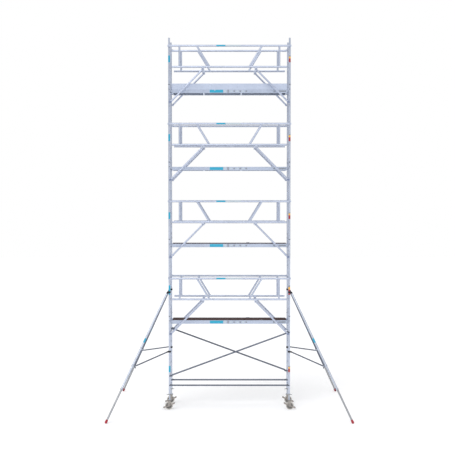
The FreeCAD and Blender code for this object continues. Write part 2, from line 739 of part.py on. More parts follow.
def brace_claw(name, height):
    """A claw on the front right post at a height."""
    body = block(f"{name}_body", (claw_inner, -half_width - claw_half,
                                  height - d.brace_claw_height / 2),
                 (half_bay + d.jaw_reach, -half_width + claw_half,
                  height + d.brace_claw_height / 2))
    saddle = bar(f"{name}_saddle", 2 * saddle_radius,
                 (half_bay, -half_width, height - d.brace_claw_height),
                 (half_bay, -half_width, height + d.brace_claw_height))
    mouth = block(f"{name}_mouth", (half_bay, -half_width - saddle_radius,
                                    height - d.brace_claw_height),
                  (half_bay + d.claw_height, -half_width + saddle_radius,
                   height + d.brace_claw_height))
    return cut(name, body, saddle, mouth)


def brace_tube(name, left_height, right_height):
    """A tube between the inner faces of two claws."""
    raw = tube(f"{name}_raw", d.brace_diameter, d.brace_wall, (-half_bay, -half_width, left_height),
               (half_bay, -half_width, right_height))
    high = left_height + right_height
    stops = [block(f"{name}_stop_{label}",
                   (side * (claw_inner + half_bay) - half_bay, -d.frame_width, 0),
                   (side * (claw_inner + half_bay) + half_bay, 0, high)) for label, side in SIDES]
    return cut(name, raw, *stops)


level_claw = brace_claw("level_claw", d.level_brace_height)
level_brace = group("level_brace", [
    brace_tube("level_tube", d.level_brace_height, d.level_brace_height),
    level_claw, mirrored("level_claw_left", level_claw, X_AXIS)])
low_claw = brace_claw("low_claw", d.slant_brace_low)
slant_brace = group("slant_brace", [
    brace_tube("slant_tube", d.slant_brace_low, d.slant_brace_high),
    mirrored("low_claw_left", low_claw, X_AXIS),
    brace_claw("high_claw", d.slant_brace_high)])
node("horizontal_braces", [level_brace, mirrored("back_level_brace", level_brace, Y_AXIS)],
     z=d.foot_height)
back_slant = mirrored("back_slant_brace", mirrored("crossed_slant_brace", slant_brace, X_AXIS), Y_AXIS)
node("diagonal_braces", [slant_brace, back_slant], z=d.foot_height)

# ---------------------------------------------------------------------------- castors
# Drawn on the post's centre line with the outside of the tower towards +X.
head_bottom = d.wheel_diameter + d.head_gap
head_top = head_bottom + d.head_thickness
spindle_bottom = head_top + d.seat_play
spindle_radius = d.spindle_diameter / 2
spindle = turned_body("spindle", [
    (spindle_radius - d.spindle_wall, spindle_bottom),
    (d.flange_diameter / 2, spindle_bottom),
    (d.flange_diameter / 2, spindle_bottom + d.flange_thickness),
    (spindle_radius, spindle_bottom + d.flange_thickness),
    (spindle_radius, d.spindle_top),
    (spindle_radius - d.spindle_wall, d.spindle_top)])

nut_top = d.foot_height - d.seat_play
nut_bottom = nut_top - d.nut_height
nut_bore = spindle_radius + d.seat_play
nut_ring = turned_body("nut_ring", [
    (nut_bore, nut_bottom),
    (d.nut_diameter / 2, nut_bottom),
    (d.nut_diameter / 2, nut_top),
    (nut_bore, nut_top)])
nut_wings = cut("nut_wings",
                block("nut_wing_bar", (-d.wing_reach, -d.wing_thickness / 2, nut_bottom),
                      (d.wing_reach, d.wing_thickness / 2, nut_bottom + d.nut_height / 2)),
                bar("nut_wing_gap", 2 * nut_bore, (0, 0, 0), (0, 0, nut_top)))
wing_nut = fuse("wing_nut", nut_ring, nut_wings)

axle_height = d.wheel_diameter / 2
cheek_inner = d.hub_width / 2 + d.pedal_gap
cheek_outer = cheek_inner + d.cheek_thickness
castor_head = turned_body("castor_head", [
    (0, head_bottom),
    (d.head_diameter / 2, head_bottom),
    (d.head_diameter / 2, head_top),
    (0, head_top)])
cheek = doc.addObject("PartDesign::Body", "cheek")
cheek_outline = new_sketch(cheek, "cheek_outline", "XZ_Plane")
draw_outline(cheek_outline, [
    (d.castor_trail - d.cheek_width / 2, axle_height - d.axle_diameter),
    (d.castor_trail + d.cheek_width / 2, axle_height - d.axle_diameter),
    (d.castor_trail + d.cheek_width / 2, axle_height + d.axle_diameter),
    (d.head_diameter / 3, head_bottom),
    (-d.head_diameter / 3, head_bottom),
    (d.castor_trail - d.cheek_width / 2, axle_height + d.axle_diameter)])
pad(cheek, "cheek_plate", cheek_outline, d.cheek_thickness, both_ways=True)


def across_wheel(name, diameter, reach):
    return bar(name, diameter, (d.castor_trail, -reach, axle_height),
               (d.castor_trail, reach, axle_height))


axle_reach = cheek_outer + d.pedal_gap + 2 * d.pedal_thickness
axle_bore = across_wheel("axle_bore", d.axle_diameter + 2 * d.seat_play, d.wheel_diameter)
cheeks = [cut(f"cheek_{label}",
              placed(f"cheek_{label}_raw", cheek, y=side * (cheek_inner + d.cheek_thickness / 2)),
              axle_bore) for label, side in SIDES]
yoke = group("yoke", [castor_head] + cheeks + [across_wheel("axle", d.axle_diameter, axle_reach)])

tyre_seat = d.wheel_diameter / 2 - d.tyre_depth
hub_bore = d.axle_diameter / 2 + d.seat_play
hub = turned_body("wheel_hub", [
    (hub_bore, -d.hub_width / 2),
    (d.axle_diameter, -d.hub_width / 2),
    (d.axle_diameter, -d.wheel_width / 6),
    (tyre_seat - d.tyre_depth / 3, -d.wheel_width / 6),
    (tyre_seat - d.tyre_depth / 3, -d.wheel_width / 2),
    (tyre_seat, -d.wheel_width / 2),
    (tyre_seat, d.wheel_width / 2),
    (tyre_seat - d.tyre_depth / 3, d.wheel_width / 2),
    (tyre_seat - d.tyre_depth / 3, d.wheel_width / 6),
    (d.axle_diameter, d.wheel_width / 6),
    (d.axle_diameter, d.hub_width / 2),
    (hub_bore, d.hub_width / 2)])
tyre_crown = d.wheel_diameter / 2
tyre = turned_body("tyre", [
    (tyre_seat, -d.wheel_width / 2),
    (tyre_crown - d.tyre_depth / 4, -d.wheel_width / 2),
    (tyre_crown, -d.wheel_width / 4),
    (tyre_crown, d.wheel_width / 4),
    (tyre_crown - d.tyre_depth / 4, d.wheel_width / 2),
    (tyre_seat, d.wheel_width / 2)])
wheel = placed("wheel", group("wheel_on_axis", [hub, tyre]), x=d.castor_trail, z=axle_height,
               axis=X_AXIS, angle=90)

arm_inner = cheek_outer + d.pedal_gap
arm_outer = arm_inner + d.pedal_thickness
pedal_run = d.pedal_out_x + d.pedal_in_x
pedal_fall = d.pedal_out_drop + d.pedal_in_rise
pedal_length = root(pedal_run * pedal_run + pedal_fall * pedal_fall)
pedal_tilt = Size(f"atan2({pedal_fall.text}; {pedal_run.text})",
                  math.degrees(math.atan2(pedal_fall.number, pedal_run.number)))


def pedal_pad(name, x):
    """A foot pad across both arms."""
    return block(name, (x - d.pad_length / 2, -arm_outer, d.pedal_arm_width / 2),
                 (x + d.pad_length / 2, arm_outer, d.pedal_arm_width / 2 + d.pad_thickness))


# The pedal is drawn level round the axle, outer end towards +X, and then tilted.
out_reach = root(d.pedal_out_x * d.pedal_out_x + d.pedal_out_drop * d.pedal_out_drop)
in_reach = root(d.pedal_in_x * d.pedal_in_x + d.pedal_in_rise * d.pedal_in_rise)
level_arm_bore = bar("level_arm_bore", d.axle_diameter + 2 * d.seat_play, (0, -d.wheel_diameter, 0),
                     (0, d.wheel_diameter, 0))
pedal_arm = cut("pedal_arm",
                block("pedal_arm_blank", (-in_reach - d.pad_length / 2, arm_inner,
                                          -d.pedal_arm_width / 2),
                      (out_reach + d.pad_length / 2, arm_outer, d.pedal_arm_width / 2)),
                level_arm_bore)
pedal = placed("pedal",
               group("level_pedal", [pedal_arm, mirrored("front_pedal_arm", pedal_arm, Y_AXIS),
                                     pedal_pad("outer_pad", out_reach),
                                     pedal_pad("inner_pad", -in_reach)]),
               x=d.castor_trail, z=axle_height, axis=Y_AXIS, angle=pedal_tilt)

castor_pieces = {"jack_spindle": spindle, "jack_nut": wing_nut, "castor_yoke": yoke,
                 "castor_wheel": wheel, "brake_pedal": pedal}
for kind, piece in castor_pieces.items():
    for corner, side_x, side_y in CORNERS:
        turned = piece if side_x > 0 else mirrored(f"{kind}_{corner}_mirror", piece, X_AXIS)
        node(f"{kind}_{corner}", [turned], x=side_x * half_bay, y=side_y * half_width)

# ---------------------------------------------------------------------------- outriggers
# Drawn in the X-Z plane from the post's centre line outwards, then swung to each corner.
# Forked tubes are drawn upright from their bolt, so their length runs along +Z.
leg_drop = d.outrigger_top - d.foot_radius
leg_run = d.outrigger_reach - d.coupler_reach
leg_length = root(leg_run * leg_run + leg_drop * leg_drop)
leg_turn = turn_from_up(leg_drop, leg_length)
slot_half = d.coupler_lug / 2 + d.seat_play
bolt_bore = d.coupler_bolt + 2 * d.seat_play


def bolt(name, x, z):
    reach = slot_half + d.clamp_diameter / 2
    return bar(name, d.coupler_bolt, (x, -reach, z), (x, reach, z))


def bolt_hole(name, x, z):
    return bar(name, bolt_bore, (x, -d.clamp_diameter, z), (x, d.clamp_diameter, z))


def coupler(name, height):
    """A ring round the post with a drilled lug outwards."""
    half = d.coupler_height / 2
    ring = bar(f"{name}_ring", d.coupler_diameter, (0, 0, height - half), (0, 0, height + half))
    lug = block(f"{name}_lug", (saddle_radius, -d.coupler_lug / 2, height - half + d.claw_wall / 3),
                (d.coupler_reach + d.fork_tail - 1, d.coupler_lug / 2,
                 height + half - d.claw_wall / 3))
    post_hole = bar(f"{name}_hole", 2 * saddle_radius, (0, 0, height - 2 * half),
                    (0, 0, height + 2 * half))
    return cut(name, fuse(f"{name}_blank", ring, lug), post_hole,
               bolt_hole(f"{name}_bolt_hole", d.coupler_reach, height))


def fork(name, diameter, bolt_at, points_up):
    """A slotted plug in a tube's end; the tube runs upwards from it, or downwards."""
    way = 1 if points_up else -1
    low, high = sorted((bolt_at - way * d.fork_tail, bolt_at + way * d.fork_length),
                       key=lambda end: end.number)
    slot_low, slot_high = sorted((bolt_at - way * d.fork_length, bolt_at + way * d.fork_depth),
                                 key=lambda end: end.number)
    blank = bar(f"{name}_blank", diameter, (0, 0, low), (0, 0, high))
    slot = block(f"{name}_slot", (-d.clamp_diameter, -slot_half, slot_low),
                 (d.clamp_diameter, slot_half, slot_high))
    hole = bar(f"{name}_hole", bolt_bore, (0, -d.clamp_diameter, bolt_at),
               (0, d.clamp_diameter, bolt_at))
    return cut(name, blank, fuse(f"{name}_opening", slot, hole))


leg_plug = d.leg_diameter - 2 * d.leg_wall - 2 * d.seat_play
tube_start = as_size(d.fork_depth) + d.fork_tail
outer_leg = tube("outer_leg", d.leg_diameter, d.leg_wall, (0, 0, tube_start), (0, 0, d.leg_tube_length))
leg_bore_bar = bar("leg_collar_bore", d.leg_diameter, (0, 0, 0), (0, 0, leg_length))
stay_clamp = cut("stay_clamp",
                 fuse("stay_clamp_blank",
                      bar("stay_clamp_ring", d.clamp_diameter,
                          (0, 0, d.clamp_distance - d.clamp_length / 2),
                          (0, 0, d.clamp_distance + d.clamp_length / 2)),
                      block("stay_clamp_lug",
                            (d.leg_diameter / 2, -d.coupler_lug / 2,
                             d.clamp_distance - d.clamp_length / 2),
                            (d.clamp_reach + d.fork_tail - 1, d.coupler_lug / 2,
                             d.clamp_distance + d.clamp_length / 2))),
                 leg_bore_bar,
                 bolt_hole("stay_clamp_bolt_hole", d.clamp_reach, d.clamp_distance))
collar_top = d.leg_tube_length - d.clamp_length
lock_collar = cut("lock_collar",
                  bar("lock_collar_ring", d.clamp_diameter, (0, 0, collar_top),
                      (0, 0, d.leg_tube_length)),
                  leg_bore_bar)
knob_height = d.leg_tube_length - d.clamp_length / 2
lock_knob = cut("lock_knob",
                bar("lock_knob_bar", d.knob_diameter, (0, 0, knob_height),
                    (d.knob_reach, 0, knob_height)),
                bar("lock_knob_seat", d.clamp_diameter, (0, 0, collar_top),
                    (0, 0, d.leg_tube_length)))
leg_upright = group("leg_upright", [fork("leg_fork", leg_plug, as_size(0), True), outer_leg,
                                    stay_clamp, lock_collar, lock_knob])


def along_leg(name, upright):
    return placed(name, upright, x=d.coupler_reach, z=d.outrigger_top, axis=Y_AXIS, angle=leg_turn)


# The stay's far bolt, worked out from the clamp's place on the sloping leg.
clamp_x = (d.coupler_reach + d.clamp_distance * leg_run / leg_length
           - d.clamp_reach * leg_drop / leg_length)
clamp_z = (d.outrigger_top - d.clamp_distance * leg_drop / leg_length
           - d.clamp_reach * leg_run / leg_length)
stay_run = clamp_x - d.coupler_reach
stay_drop = d.outrigger_middle - clamp_z
stay_length = root(stay_run * stay_run + stay_drop * stay_drop)
stay_plug = d.stay_diameter - 2 * d.stay_wall - 2 * d.seat_play
stay_upright = group("stay_upright", [
    fork("stay_fork_near", stay_plug, as_size(0), True),
    tube("stay_tube", d.stay_diameter, d.stay_wall, (0, 0, tube_start),
         (0, 0, stay_length - tube_start)),
    fork("stay_fork_far", stay_plug, stay_length, False)])
stay = placed("stay_in_place", stay_upright, x=d.coupler_reach, z=d.outrigger_middle, axis=Y_AXIS,
              angle=turn_from_up(stay_drop, stay_length))
outrigger = group("outrigger", [
    coupler("upper_coupler", d.outrigger_top),
    coupler("lower_coupler", d.outrigger_middle),
    bolt("upper_bolt", d.coupler_reach, d.outrigger_top),
    bolt("lower_bolt", d.coupler_reach, d.outrigger_middle),
    bolt("clamp_bolt", clamp_x, clamp_z),
    along_leg("leg_in_place", leg_upright),
    stay])

inner_diameter = d.leg_diameter - 2 * d.leg_wall - 4 * d.seat_play
inner_start = d.leg_tube_length - d.leg_overlap
inner_end = leg_length - d.foot_radius / 2
inner_leg = tube("inner_leg", inner_diameter, d.leg_wall, (0, 0, inner_start), (0, 0, inner_end))
foot_ball = doc.addObject("Part::Sphere", "foot_ball")
bind(foot_ball, "Radius", d.foot_radius)
bind_place(foot_ball, 0, 0, leg_length)
boot = bar("foot_boot", 2 * d.foot_radius - 4, (0, 0, leg_length - d.boot_length), (0, 0, leg_length))
foot = cut("foot", fuse("foot_blank", foot_ball, boot),
           bar("foot_socket", inner_diameter + 2 * d.seat_play, (0, 0, 0), (0, 0, inner_end)))
telescope = along_leg("telescope", group("telescope_upright", [inner_leg, foot]))

plan_turns = {"front_left": d.outrigger_angle - 180, "front_right": -d.outrigger_angle,
              "back_left": 180 - d.outrigger_angle, "back_right": d.outrigger_angle}
for corner, side_x, side_y in CORNERS:
    corner_place = {"x": side_x * half_bay, "y": side_y * half_width, "axis": Z_AXIS,
                    "angle": plan_turns[corner]}
    node(f"outrigger_leg_{corner}", [outrigger], **corner_place)
    node(f"outrigger_foot_{corner}", [telescope], **corner_place)

# ---------------------------------------------------------------------------- check and write
doc.recompute()
failed = [piece.Name for piece in doc.Objects if "Invalid" in piece.State or "Error" in piece.State]
if failed:
    raise RuntimeError(f"these features failed: {failed}")
for piece in nodes:
    if piece.Shape.isNull() or not piece.Shape.isValid():
        raise RuntimeError(f"{piece.Label} has no valid shape")
for piece in nodes:
    piece.Shape.exportStep(os.path.join("parts", f"{piece.Label}.step"))
print(f"{len(nodes)} sub-parts, {sum(len(piece.Shape.Solids) for piece in nodes)} solids")
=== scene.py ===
import json
import math

import bmesh
import bpy
from mathutils import Matrix, Vector


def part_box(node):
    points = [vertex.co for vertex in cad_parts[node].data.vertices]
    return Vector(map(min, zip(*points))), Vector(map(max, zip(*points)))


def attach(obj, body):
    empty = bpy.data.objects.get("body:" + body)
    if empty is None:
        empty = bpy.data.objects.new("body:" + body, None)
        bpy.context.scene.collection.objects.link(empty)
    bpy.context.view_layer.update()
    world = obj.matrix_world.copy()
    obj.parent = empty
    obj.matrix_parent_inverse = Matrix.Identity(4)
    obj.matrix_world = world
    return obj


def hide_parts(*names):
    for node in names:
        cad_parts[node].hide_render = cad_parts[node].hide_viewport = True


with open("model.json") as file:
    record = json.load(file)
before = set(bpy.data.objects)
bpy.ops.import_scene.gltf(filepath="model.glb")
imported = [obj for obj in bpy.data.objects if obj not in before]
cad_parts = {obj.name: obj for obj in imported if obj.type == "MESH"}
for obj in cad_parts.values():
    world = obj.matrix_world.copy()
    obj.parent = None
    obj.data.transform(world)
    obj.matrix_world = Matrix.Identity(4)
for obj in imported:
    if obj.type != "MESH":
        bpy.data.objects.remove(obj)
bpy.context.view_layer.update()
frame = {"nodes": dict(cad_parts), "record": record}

# ---------------------------------------------------------------------------- studio
# A white studio with a pale seamless floor. One broad key lamp from the upper left draws soft
# shadows under the castors, and the sky is a little darker at the sides so that tube edges read.
EYE_BACK = 24.935
EYE_HEIGHT = 5.435
EYE_PITCH = math.radians(1.825)
EYE_YAW = math.radians(0.112)
EYE_LENS = 76.5
EYE_SENSOR = 36
EYE_RANGE = 200
SKY_LOW = (0.55, 0.56, 0.58, 1)
SKY_HIGH = (0.80, 0.80, 0.81, 1)
SKY_TURN = 0.75
MIX_SHARE, MIX_FIRST, MIX_SECOND, MIX_RESULT = 0, 6, 7, 2    # sockets of a colour mix
FLOOR_REACH = 60
FLOOR_GLOW = 0.16

camera_data = bpy.data.cameras.new("eye")
camera_data.lens = EYE_LENS
camera_data.sensor_width = EYE_SENSOR
camera_data.clip_end = EYE_RANGE
camera = bpy.data.objects.new("eye", camera_data)
camera.location = (0, -EYE_BACK, EYE_HEIGHT)
camera.rotation_euler = (math.radians(90) - EYE_PITCH, 0, EYE_YAW)
bpy.context.scene.collection.objects.link(camera)
bpy.context.scene.camera = camera
bpy.context.scene.view_settings.view_transform = "Standard"


def sun(name, strength, tilt, breadth):
    """A sun lamp; its tilt and breadth are in degrees."""
    data = bpy.data.lights.new(name, "SUN")
    data.energy = strength
    data.angle = math.radians(breadth)
    lamp_object = bpy.data.objects.new(name, data)
    lamp_object.rotation_euler = [math.radians(angle) for angle in tilt]
    bpy.context.scene.collection.objects.link(lamp_object)


sun("key", strength=1.1, tilt=(34, -24, 0), breadth=35)
sun("fill", strength=0.35, tilt=(66, 34, 0), breadth=60)

sky = bpy.data.worlds.new("studio")
sky.use_nodes = True
bpy.context.scene.world = sky
sky_nodes = sky.node_tree.nodes
sky_links = sky.node_tree.links
backdrop = sky_nodes["Background"]
ray = sky_nodes.new("ShaderNodeLightPath")
direction = sky_nodes.new("ShaderNodeTexCoord")
split = sky_nodes.new("ShaderNodeSeparateXYZ")
ramp = sky_nodes.new("ShaderNodeValToRGB")
choose = sky_nodes.new("ShaderNodeMix")
choose.data_type = "RGBA"
ramp.color_ramp.elements[0].position = 0.0
ramp.color_ramp.elements[0].color = SKY_LOW
ramp.color_ramp.elements[1].position = SKY_TURN
ramp.color_ramp.elements[1].color = SKY_HIGH
choose.inputs[MIX_SECOND].default_value = (1, 1, 1, 1)
sky_links.new(direction.outputs["Generated"], split.inputs[0])
sky_links.new(split.outputs["Z"], ramp.inputs["Fac"])
sky_links.new(ramp.outputs["Color"], choose.inputs[MIX_FIRST])
sky_links.new(ray.outputs["Is Camera Ray"], choose.inputs[MIX_SHARE])
sky_links.new(choose.outputs[MIX_RESULT], backdrop.inputs["Color"])
backdrop.inputs["Strength"].default_value = 1.0

floor_shape = bmesh.new()
bmesh.ops.create_grid(floor_shape, x_segments=1, y_segments=1, size=FLOOR_REACH)
floor_mesh = bpy.data.meshes.new("studio_floor")
floor_shape.to_mesh(floor_mesh)
floor_shape.free()
floor = bpy.data.objects.new("studio_floor", floor_mesh)
bpy.context.scene.collection.objects.link(floor)
floor_finish = bpy.data.materials.new("studio_floor")
floor_finish.use_nodes = True
floor_shader = floor_finish.node_tree.nodes["Principled BSDF"]
floor_shader.inputs["Base Color"].default_value = (0.90, 0.90, 0.90, 1)
floor_shader.inputs["Roughness"].default_value = 0.9
floor_shader.inputs["Specular IOR Level"].default_value = 0.1
floor_shader.inputs["Emission Color"].default_value = (1, 1, 1, 1)
floor_shader.inputs["Emission Strength"].default_value = FLOOR_GLOW
floor.data.materials.append(floor_finish)

# ---------------------------------------------------------------------------- ladder frames
# Two posts of drawn aluminium tube with welded rungs make a frame. A riveted spigot in the top of
# each post takes the next frame, and a wire clip with a spring pin locks the joint. Coloured
# vinyl labels without wording are wrapped round the front posts.
LIFTS = 4
SIDES = (-1, 1)
CORNERS = (("front_left", -1, -1), ("front_right", 1, -1), ("back_left", -1, 1), ("back_right", 1, 1))
mount_places = {mount["name"]: Vector(mount["pos_m"]) for mount in frame["record"]["mounts"]}
HALF_BAY = mount_places["spigot_back_right"].x
HALF_WIDTH = mount_places["spigot_back_right"].y
FRAME_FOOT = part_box("end_frames_1")[0].z
LIFT_PITCH = mount_places["platform_2"].z - mount_places["platform_1"].z
POST_RADIUS = 0.0254
RUNG_RADIUS = 0.015
TOP_RUNG_RADIUS = 0.019
FIRST_RUNG = 0.14
RUNG_PITCH = 0.28
RUNG_COUNT = 7
TOP_RUNGS = (0.47, 0.99)
WELD_BEAD = 0.0028
WELD_STEPS = (20, 6)
CLIP_WIRE = 0.0018
CLIP_RISE = 0.03
CLIP_LEAN = 0.12
CLIP_STEPS = (28, 6)
PIN_RISES = (0.024, -0.092)
PIN_SUNK = 0.001
PIN_OUTLINE = [(0, 0), (0.0105, 0), (0.0105, 0.004), (0.0075, 0.0055), (0.0065, 0.012), (0, 0.0135)]
RIVET_DROPS = (0.045, 0.140)
RIVET_SUNK = 0.0004
POST_RIVET = (0.0055, 0.0028)    # radius and height; a bolt below has its width and height
LABEL_FILM = 0.0004
LABEL_WRAP = math.radians(150)
SCUFF_TONE = 0.55


def new_material(name):
    """A material with its nodes and links."""
    material = bpy.data.materials.new(name)
    material.use_nodes = True
    return material, material.node_tree.nodes, material.node_tree.links


def texture(nodes, links, kind, scale, grain=(1, 1, 1), output="Fac", **settings):
    """A texture on the piece's own coordinates, stretched by grain."""
    place = nodes.new("ShaderNodeTexCoord")
    stretch = nodes.new("ShaderNodeMapping")
    stretch.inputs["Scale"].default_value = grain
    pattern = nodes.new(kind)
    pattern.inputs["Scale"].default_value = scale
    for socket, value in settings.items():
        pattern.inputs[socket].default_value = value
    links.new(place.outputs["Object"], stretch.inputs["Vector"])
    links.new(stretch.outputs["Vector"], pattern.inputs["Vector"])
    return pattern.outputs[output]


def spread(nodes, links, value, low, high, from_low=0.3, from_high=0.7):
    """A texture's value spread between two numbers."""
    spreader = nodes.new("ShaderNodeMapRange")
    spreader.inputs["From Min"].default_value = from_low
    spreader.inputs["From Max"].default_value = from_high
    spreader.inputs["To Min"].default_value = low
    spreader.inputs["To Max"].default_value = high
    links.new(value, spreader.inputs["Value"])
    return spreader.outputs["Result"]


def mixed(nodes, links, share, *colours):
    """Two colours mixed by a texture; either may be a socket."""
    mix = nodes.new("ShaderNodeMix")
    mix.data_type = "RGBA"
    links.new(share, mix.inputs[MIX_SHARE])
    for socket, colour in zip((mix.inputs[MIX_FIRST], mix.inputs[MIX_SECOND]), colours):
        if isinstance(colour, bpy.types.NodeSocket):
            links.new(colour, socket)
        else:
            socket.default_value = (*colour, 1)
    return mix.outputs[MIX_RESULT]


def relief(nodes, links, height, strength, distance):
    """Fine relief from a texture."""
    bump = nodes.new("ShaderNodeBump")
    bump.inputs["Strength"].default_value = strength
    bump.inputs["Distance"].default_value = distance
    links.new(height, bump.inputs["Height"])
    return bump.outputs["Normal"]


def metal(name, bright, dull, roughness, grain=(1, 1, 1), lines=60, metallic=0.8, depth=0.12):
    """Drawn or cast metal: a cloudy tone, lines along the grain, scuffs and an uneven gloss."""
    material, nodes, links = new_material(name)
    shader = nodes["Principled BSDF"]
    shader.inputs["Metallic"].default_value = metallic
    cloud = texture(nodes, links, "ShaderNodeTexNoise", 2.2, Detail=6.0, Roughness=0.6)
    fine = texture(nodes, links, "ShaderNodeTexNoise", lines, grain, Detail=3.0)
    tone = mixed(nodes, links, spread(nodes, links, cloud, 0.0, 0.8), bright, dull)
    lined = mixed(nodes, links, spread(nodes, links, fine, 0.0, 0.5), tone, dull)
    knocks = texture(nodes, links, "ShaderNodeTexNoise", 16, (1, 1, 1), Detail=9.0, Roughness=0.75)
    scuffed = mixed(nodes, links, spread(nodes, links, knocks, 0.0, 0.55, 0.56, 0.70), lined,
                    [SCUFF_TONE * channel for channel in dull])
    links.new(scuffed, shader.inputs["Base Color"])
    gloss = spread(nodes, links, fine, roughness - 0.06, roughness + 0.10)
    links.new(gloss, shader.inputs["Roughness"])
    links.new(relief(nodes, links, fine, depth, 0.0004), shader.inputs["Normal"])
    return material


def plastic(name, colour, worn, roughness, grain_size=90, depth=0.25):
    """Moulded rubber, plastic or vinyl: a fine pebble grain with paler scuffs."""
    material, nodes, links = new_material(name)
    shader = nodes["Principled BSDF"]
    pebble = texture(nodes, links, "ShaderNodeTexNoise", grain_size * 8, Detail=2.0)
    scuff = texture(nodes, links, "ShaderNodeTexNoise", grain_size / 6, Detail=8.0, Roughness=0.7)
    tone = mixed(nodes, links, spread(nodes, links, scuff, 0.0, 0.7, 0.5, 0.75), colour, worn)
    links.new(tone, shader.inputs["Base Color"])
    links.new(spread(nodes, links, scuff, roughness - 0.08, roughness + 0.12),
              shader.inputs["Roughness"])
    links.new(relief(nodes, links, pebble, depth, 0.0003), shader.inputs["Normal"])
    return material


def dress(material, *node_names):
    """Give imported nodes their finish."""
    for node_name in node_names:
        mesh = frame["nodes"][node_name].data
        mesh.materials.clear()
        mesh.materials.append(material)


def closed(part):
    """Seal a part's seams and turn its faces outwards."""
    bmesh.ops.remove_doubles(part, verts=part.verts, dist=1e-6)
    bmesh.ops.recalc_face_normals(part, faces=part.faces)
    return part


def put(part, place):
    """Move a part; a mirrored one has its faces turned back outwards."""
    bmesh.ops.transform(part, matrix=place, verts=part.verts)
    if place.determinant() < 0:
        bmesh.ops.reverse_faces(part, faces=part.faces)
    return part


def joined(parts):
    """Several parts as one shape."""
    whole = bmesh.new()
    for part in parts:
        carrier = bpy.data.meshes.new("carrier")
        part.to_mesh(carrier)
        part.free()
        whole.from_mesh(carrier)
        bpy.data.meshes.remove(carrier)
    return whole


def piece(name, parts, material, body, sharp=35):
    """Turn parts into one piece that rides on a body."""
    shape = joined(parts)
    mesh = bpy.data.meshes.new(name)
    shape.to_mesh(mesh)
    shape.free()
    mesh.polygons.foreach_set("use_smooth", [True] * len(mesh.polygons))
    mesh.set_sharp_from_angle(angle=math.radians(sharp))
    mesh.materials.append(material)
    made = bpy.data.objects.new(name, mesh)
    bpy.context.scene.collection.objects.link(made)
    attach(made, body)
    return made


def aimed(start, end):
    """The move that stands a part drawn along +Z on start and points it at end."""
    run = Vector(end) - Vector(start)
    return Matrix.Translation(start) @ run.to_track_quat("Z", "Y").to_matrix().to_4x4()


def standing(start, direction):
    """The move that stands a part drawn along +Z on start, along a direction."""
    return aimed(start, Vector(start) + Vector(direction))


def between(first, second, more=0.0):
    """Two places in rising order, each moved outwards by more."""
    return min(first, second) - more, max(first, second) + more


def lathe(outline, place=Matrix(), steps=24):
    """A closed outline of (radius, height) points spun about Z."""
    part = bmesh.new()
    points = [part.verts.new((radius, 0, height)) for radius, height in outline]
    rim = [part.edges.new(pair) for pair in zip(points, points[1:] + points[:1])]
    bmesh.ops.spin(part, geom=points + rim, cent=(0, 0, 0), axis=(0, 0, 1), angle=math.tau,
                   steps=steps, use_merge=True)
    return put(closed(part), place)


def rod(start, end, radius, steps=24, rim=0.0):
    """A round bar, its end edges rounded by rim."""
    length = (Vector(end) - Vector(start)).length
    outline = [(0, 0), (radius - rim, 0), (radius, rim), (radius, length - rim),
               (radius - rim, length), (0, length)]
    return lathe(outline, aimed(start, end), steps)


def ring(centre, axis, radius, wire, steps=24, sides=8):
    """A round wire bent into a ring."""
    turn = math.tau / sides
    outline = [(radius + wire * math.cos(turn * side), wire * math.sin(turn * side))
               for side in range(sides)]
    return lathe(outline, standing(centre, axis), steps)


def slab(low, high, rim=0.0, segments=2):
    """A block with rounded edges."""
    low, high = Vector(low), Vector(high)
    part = bmesh.new()
    bmesh.ops.create_cube(part, size=1, matrix=Matrix.Translation((low + high) / 2)
                          @ Matrix.Diagonal((*(high - low), 1)))
    if rim:
        bmesh.ops.bevel(part, geom=part.edges[:], offset=rim, segments=segments, profile=0.5,
                        affect="EDGES", material=-1)
    return part


def plate(outline, thickness, place=Matrix(), rim=0.0):
    """A flat outline in X and Y given a thickness along Z, with rounded edges."""
    part = bmesh.new()
    face = part.faces.new([part.verts.new((x, y, 0)) for x, y in outline])
    grown = bmesh.ops.extrude_face_region(part, geom=[face])["geom"]
    lifted = [item for item in grown if isinstance(item, bmesh.types.BMVert)]
    bmesh.ops.translate(part, verts=lifted, vec=(0, 0, thickness))
    closed(part)
    if rim:
        bmesh.ops.bevel(part, geom=part.edges[:], offset=rim, segments=2, profile=0.5,
                        affect="EDGES", material=-1)
    return put(part, place)


def dome(place, radius, height):
    """A rivet or screw head standing on a surface."""
    outline = [(0, 0), (radius, 0), (radius, height * 0.3), (radius * 0.75, height * 0.8), (0, height)]
    return lathe(outline, place, 10)


def hexagon(place, across, height):
    """A bolt head or nut with chamfered corners."""
    radius = across / math.sqrt(3)
    outline = [(0, 0), (radius, 0), (radius, height * 0.75), (radius * 0.86, height), (0, height)]
    return lathe(outline, place, 6)


def wrap(axis_start, axis_end, radius, facing, sweep, film=LABEL_FILM):
    """A thin label bent round a tube, centred on the direction it faces."""
    start, end = Vector(axis_start), Vector(axis_end)
    axis = (end - start).normalized()
    outwards = Vector(facing).normalized() * radius
    outwards.rotate(Matrix.Rotation(-sweep / 2, 3, axis))
    part = bmesh.new()
    seam = [part.verts.new(start + outwards), part.verts.new(end + outwards)]
    edge = part.edges.new(seam)
    bmesh.ops.spin(part, geom=seam + [edge], cent=start, axis=axis, angle=sweep, steps=12)
    bmesh.ops.recalc_face_normals(part, faces=part.faces)
    bmesh.ops.solidify(part, geom=part.faces[:], thickness=film)
    return closed(part)


def lift_foot(lift):
    """The height at which a lift's posts start; lifts count from 0."""
    return FRAME_FOOT + lift * LIFT_PITCH


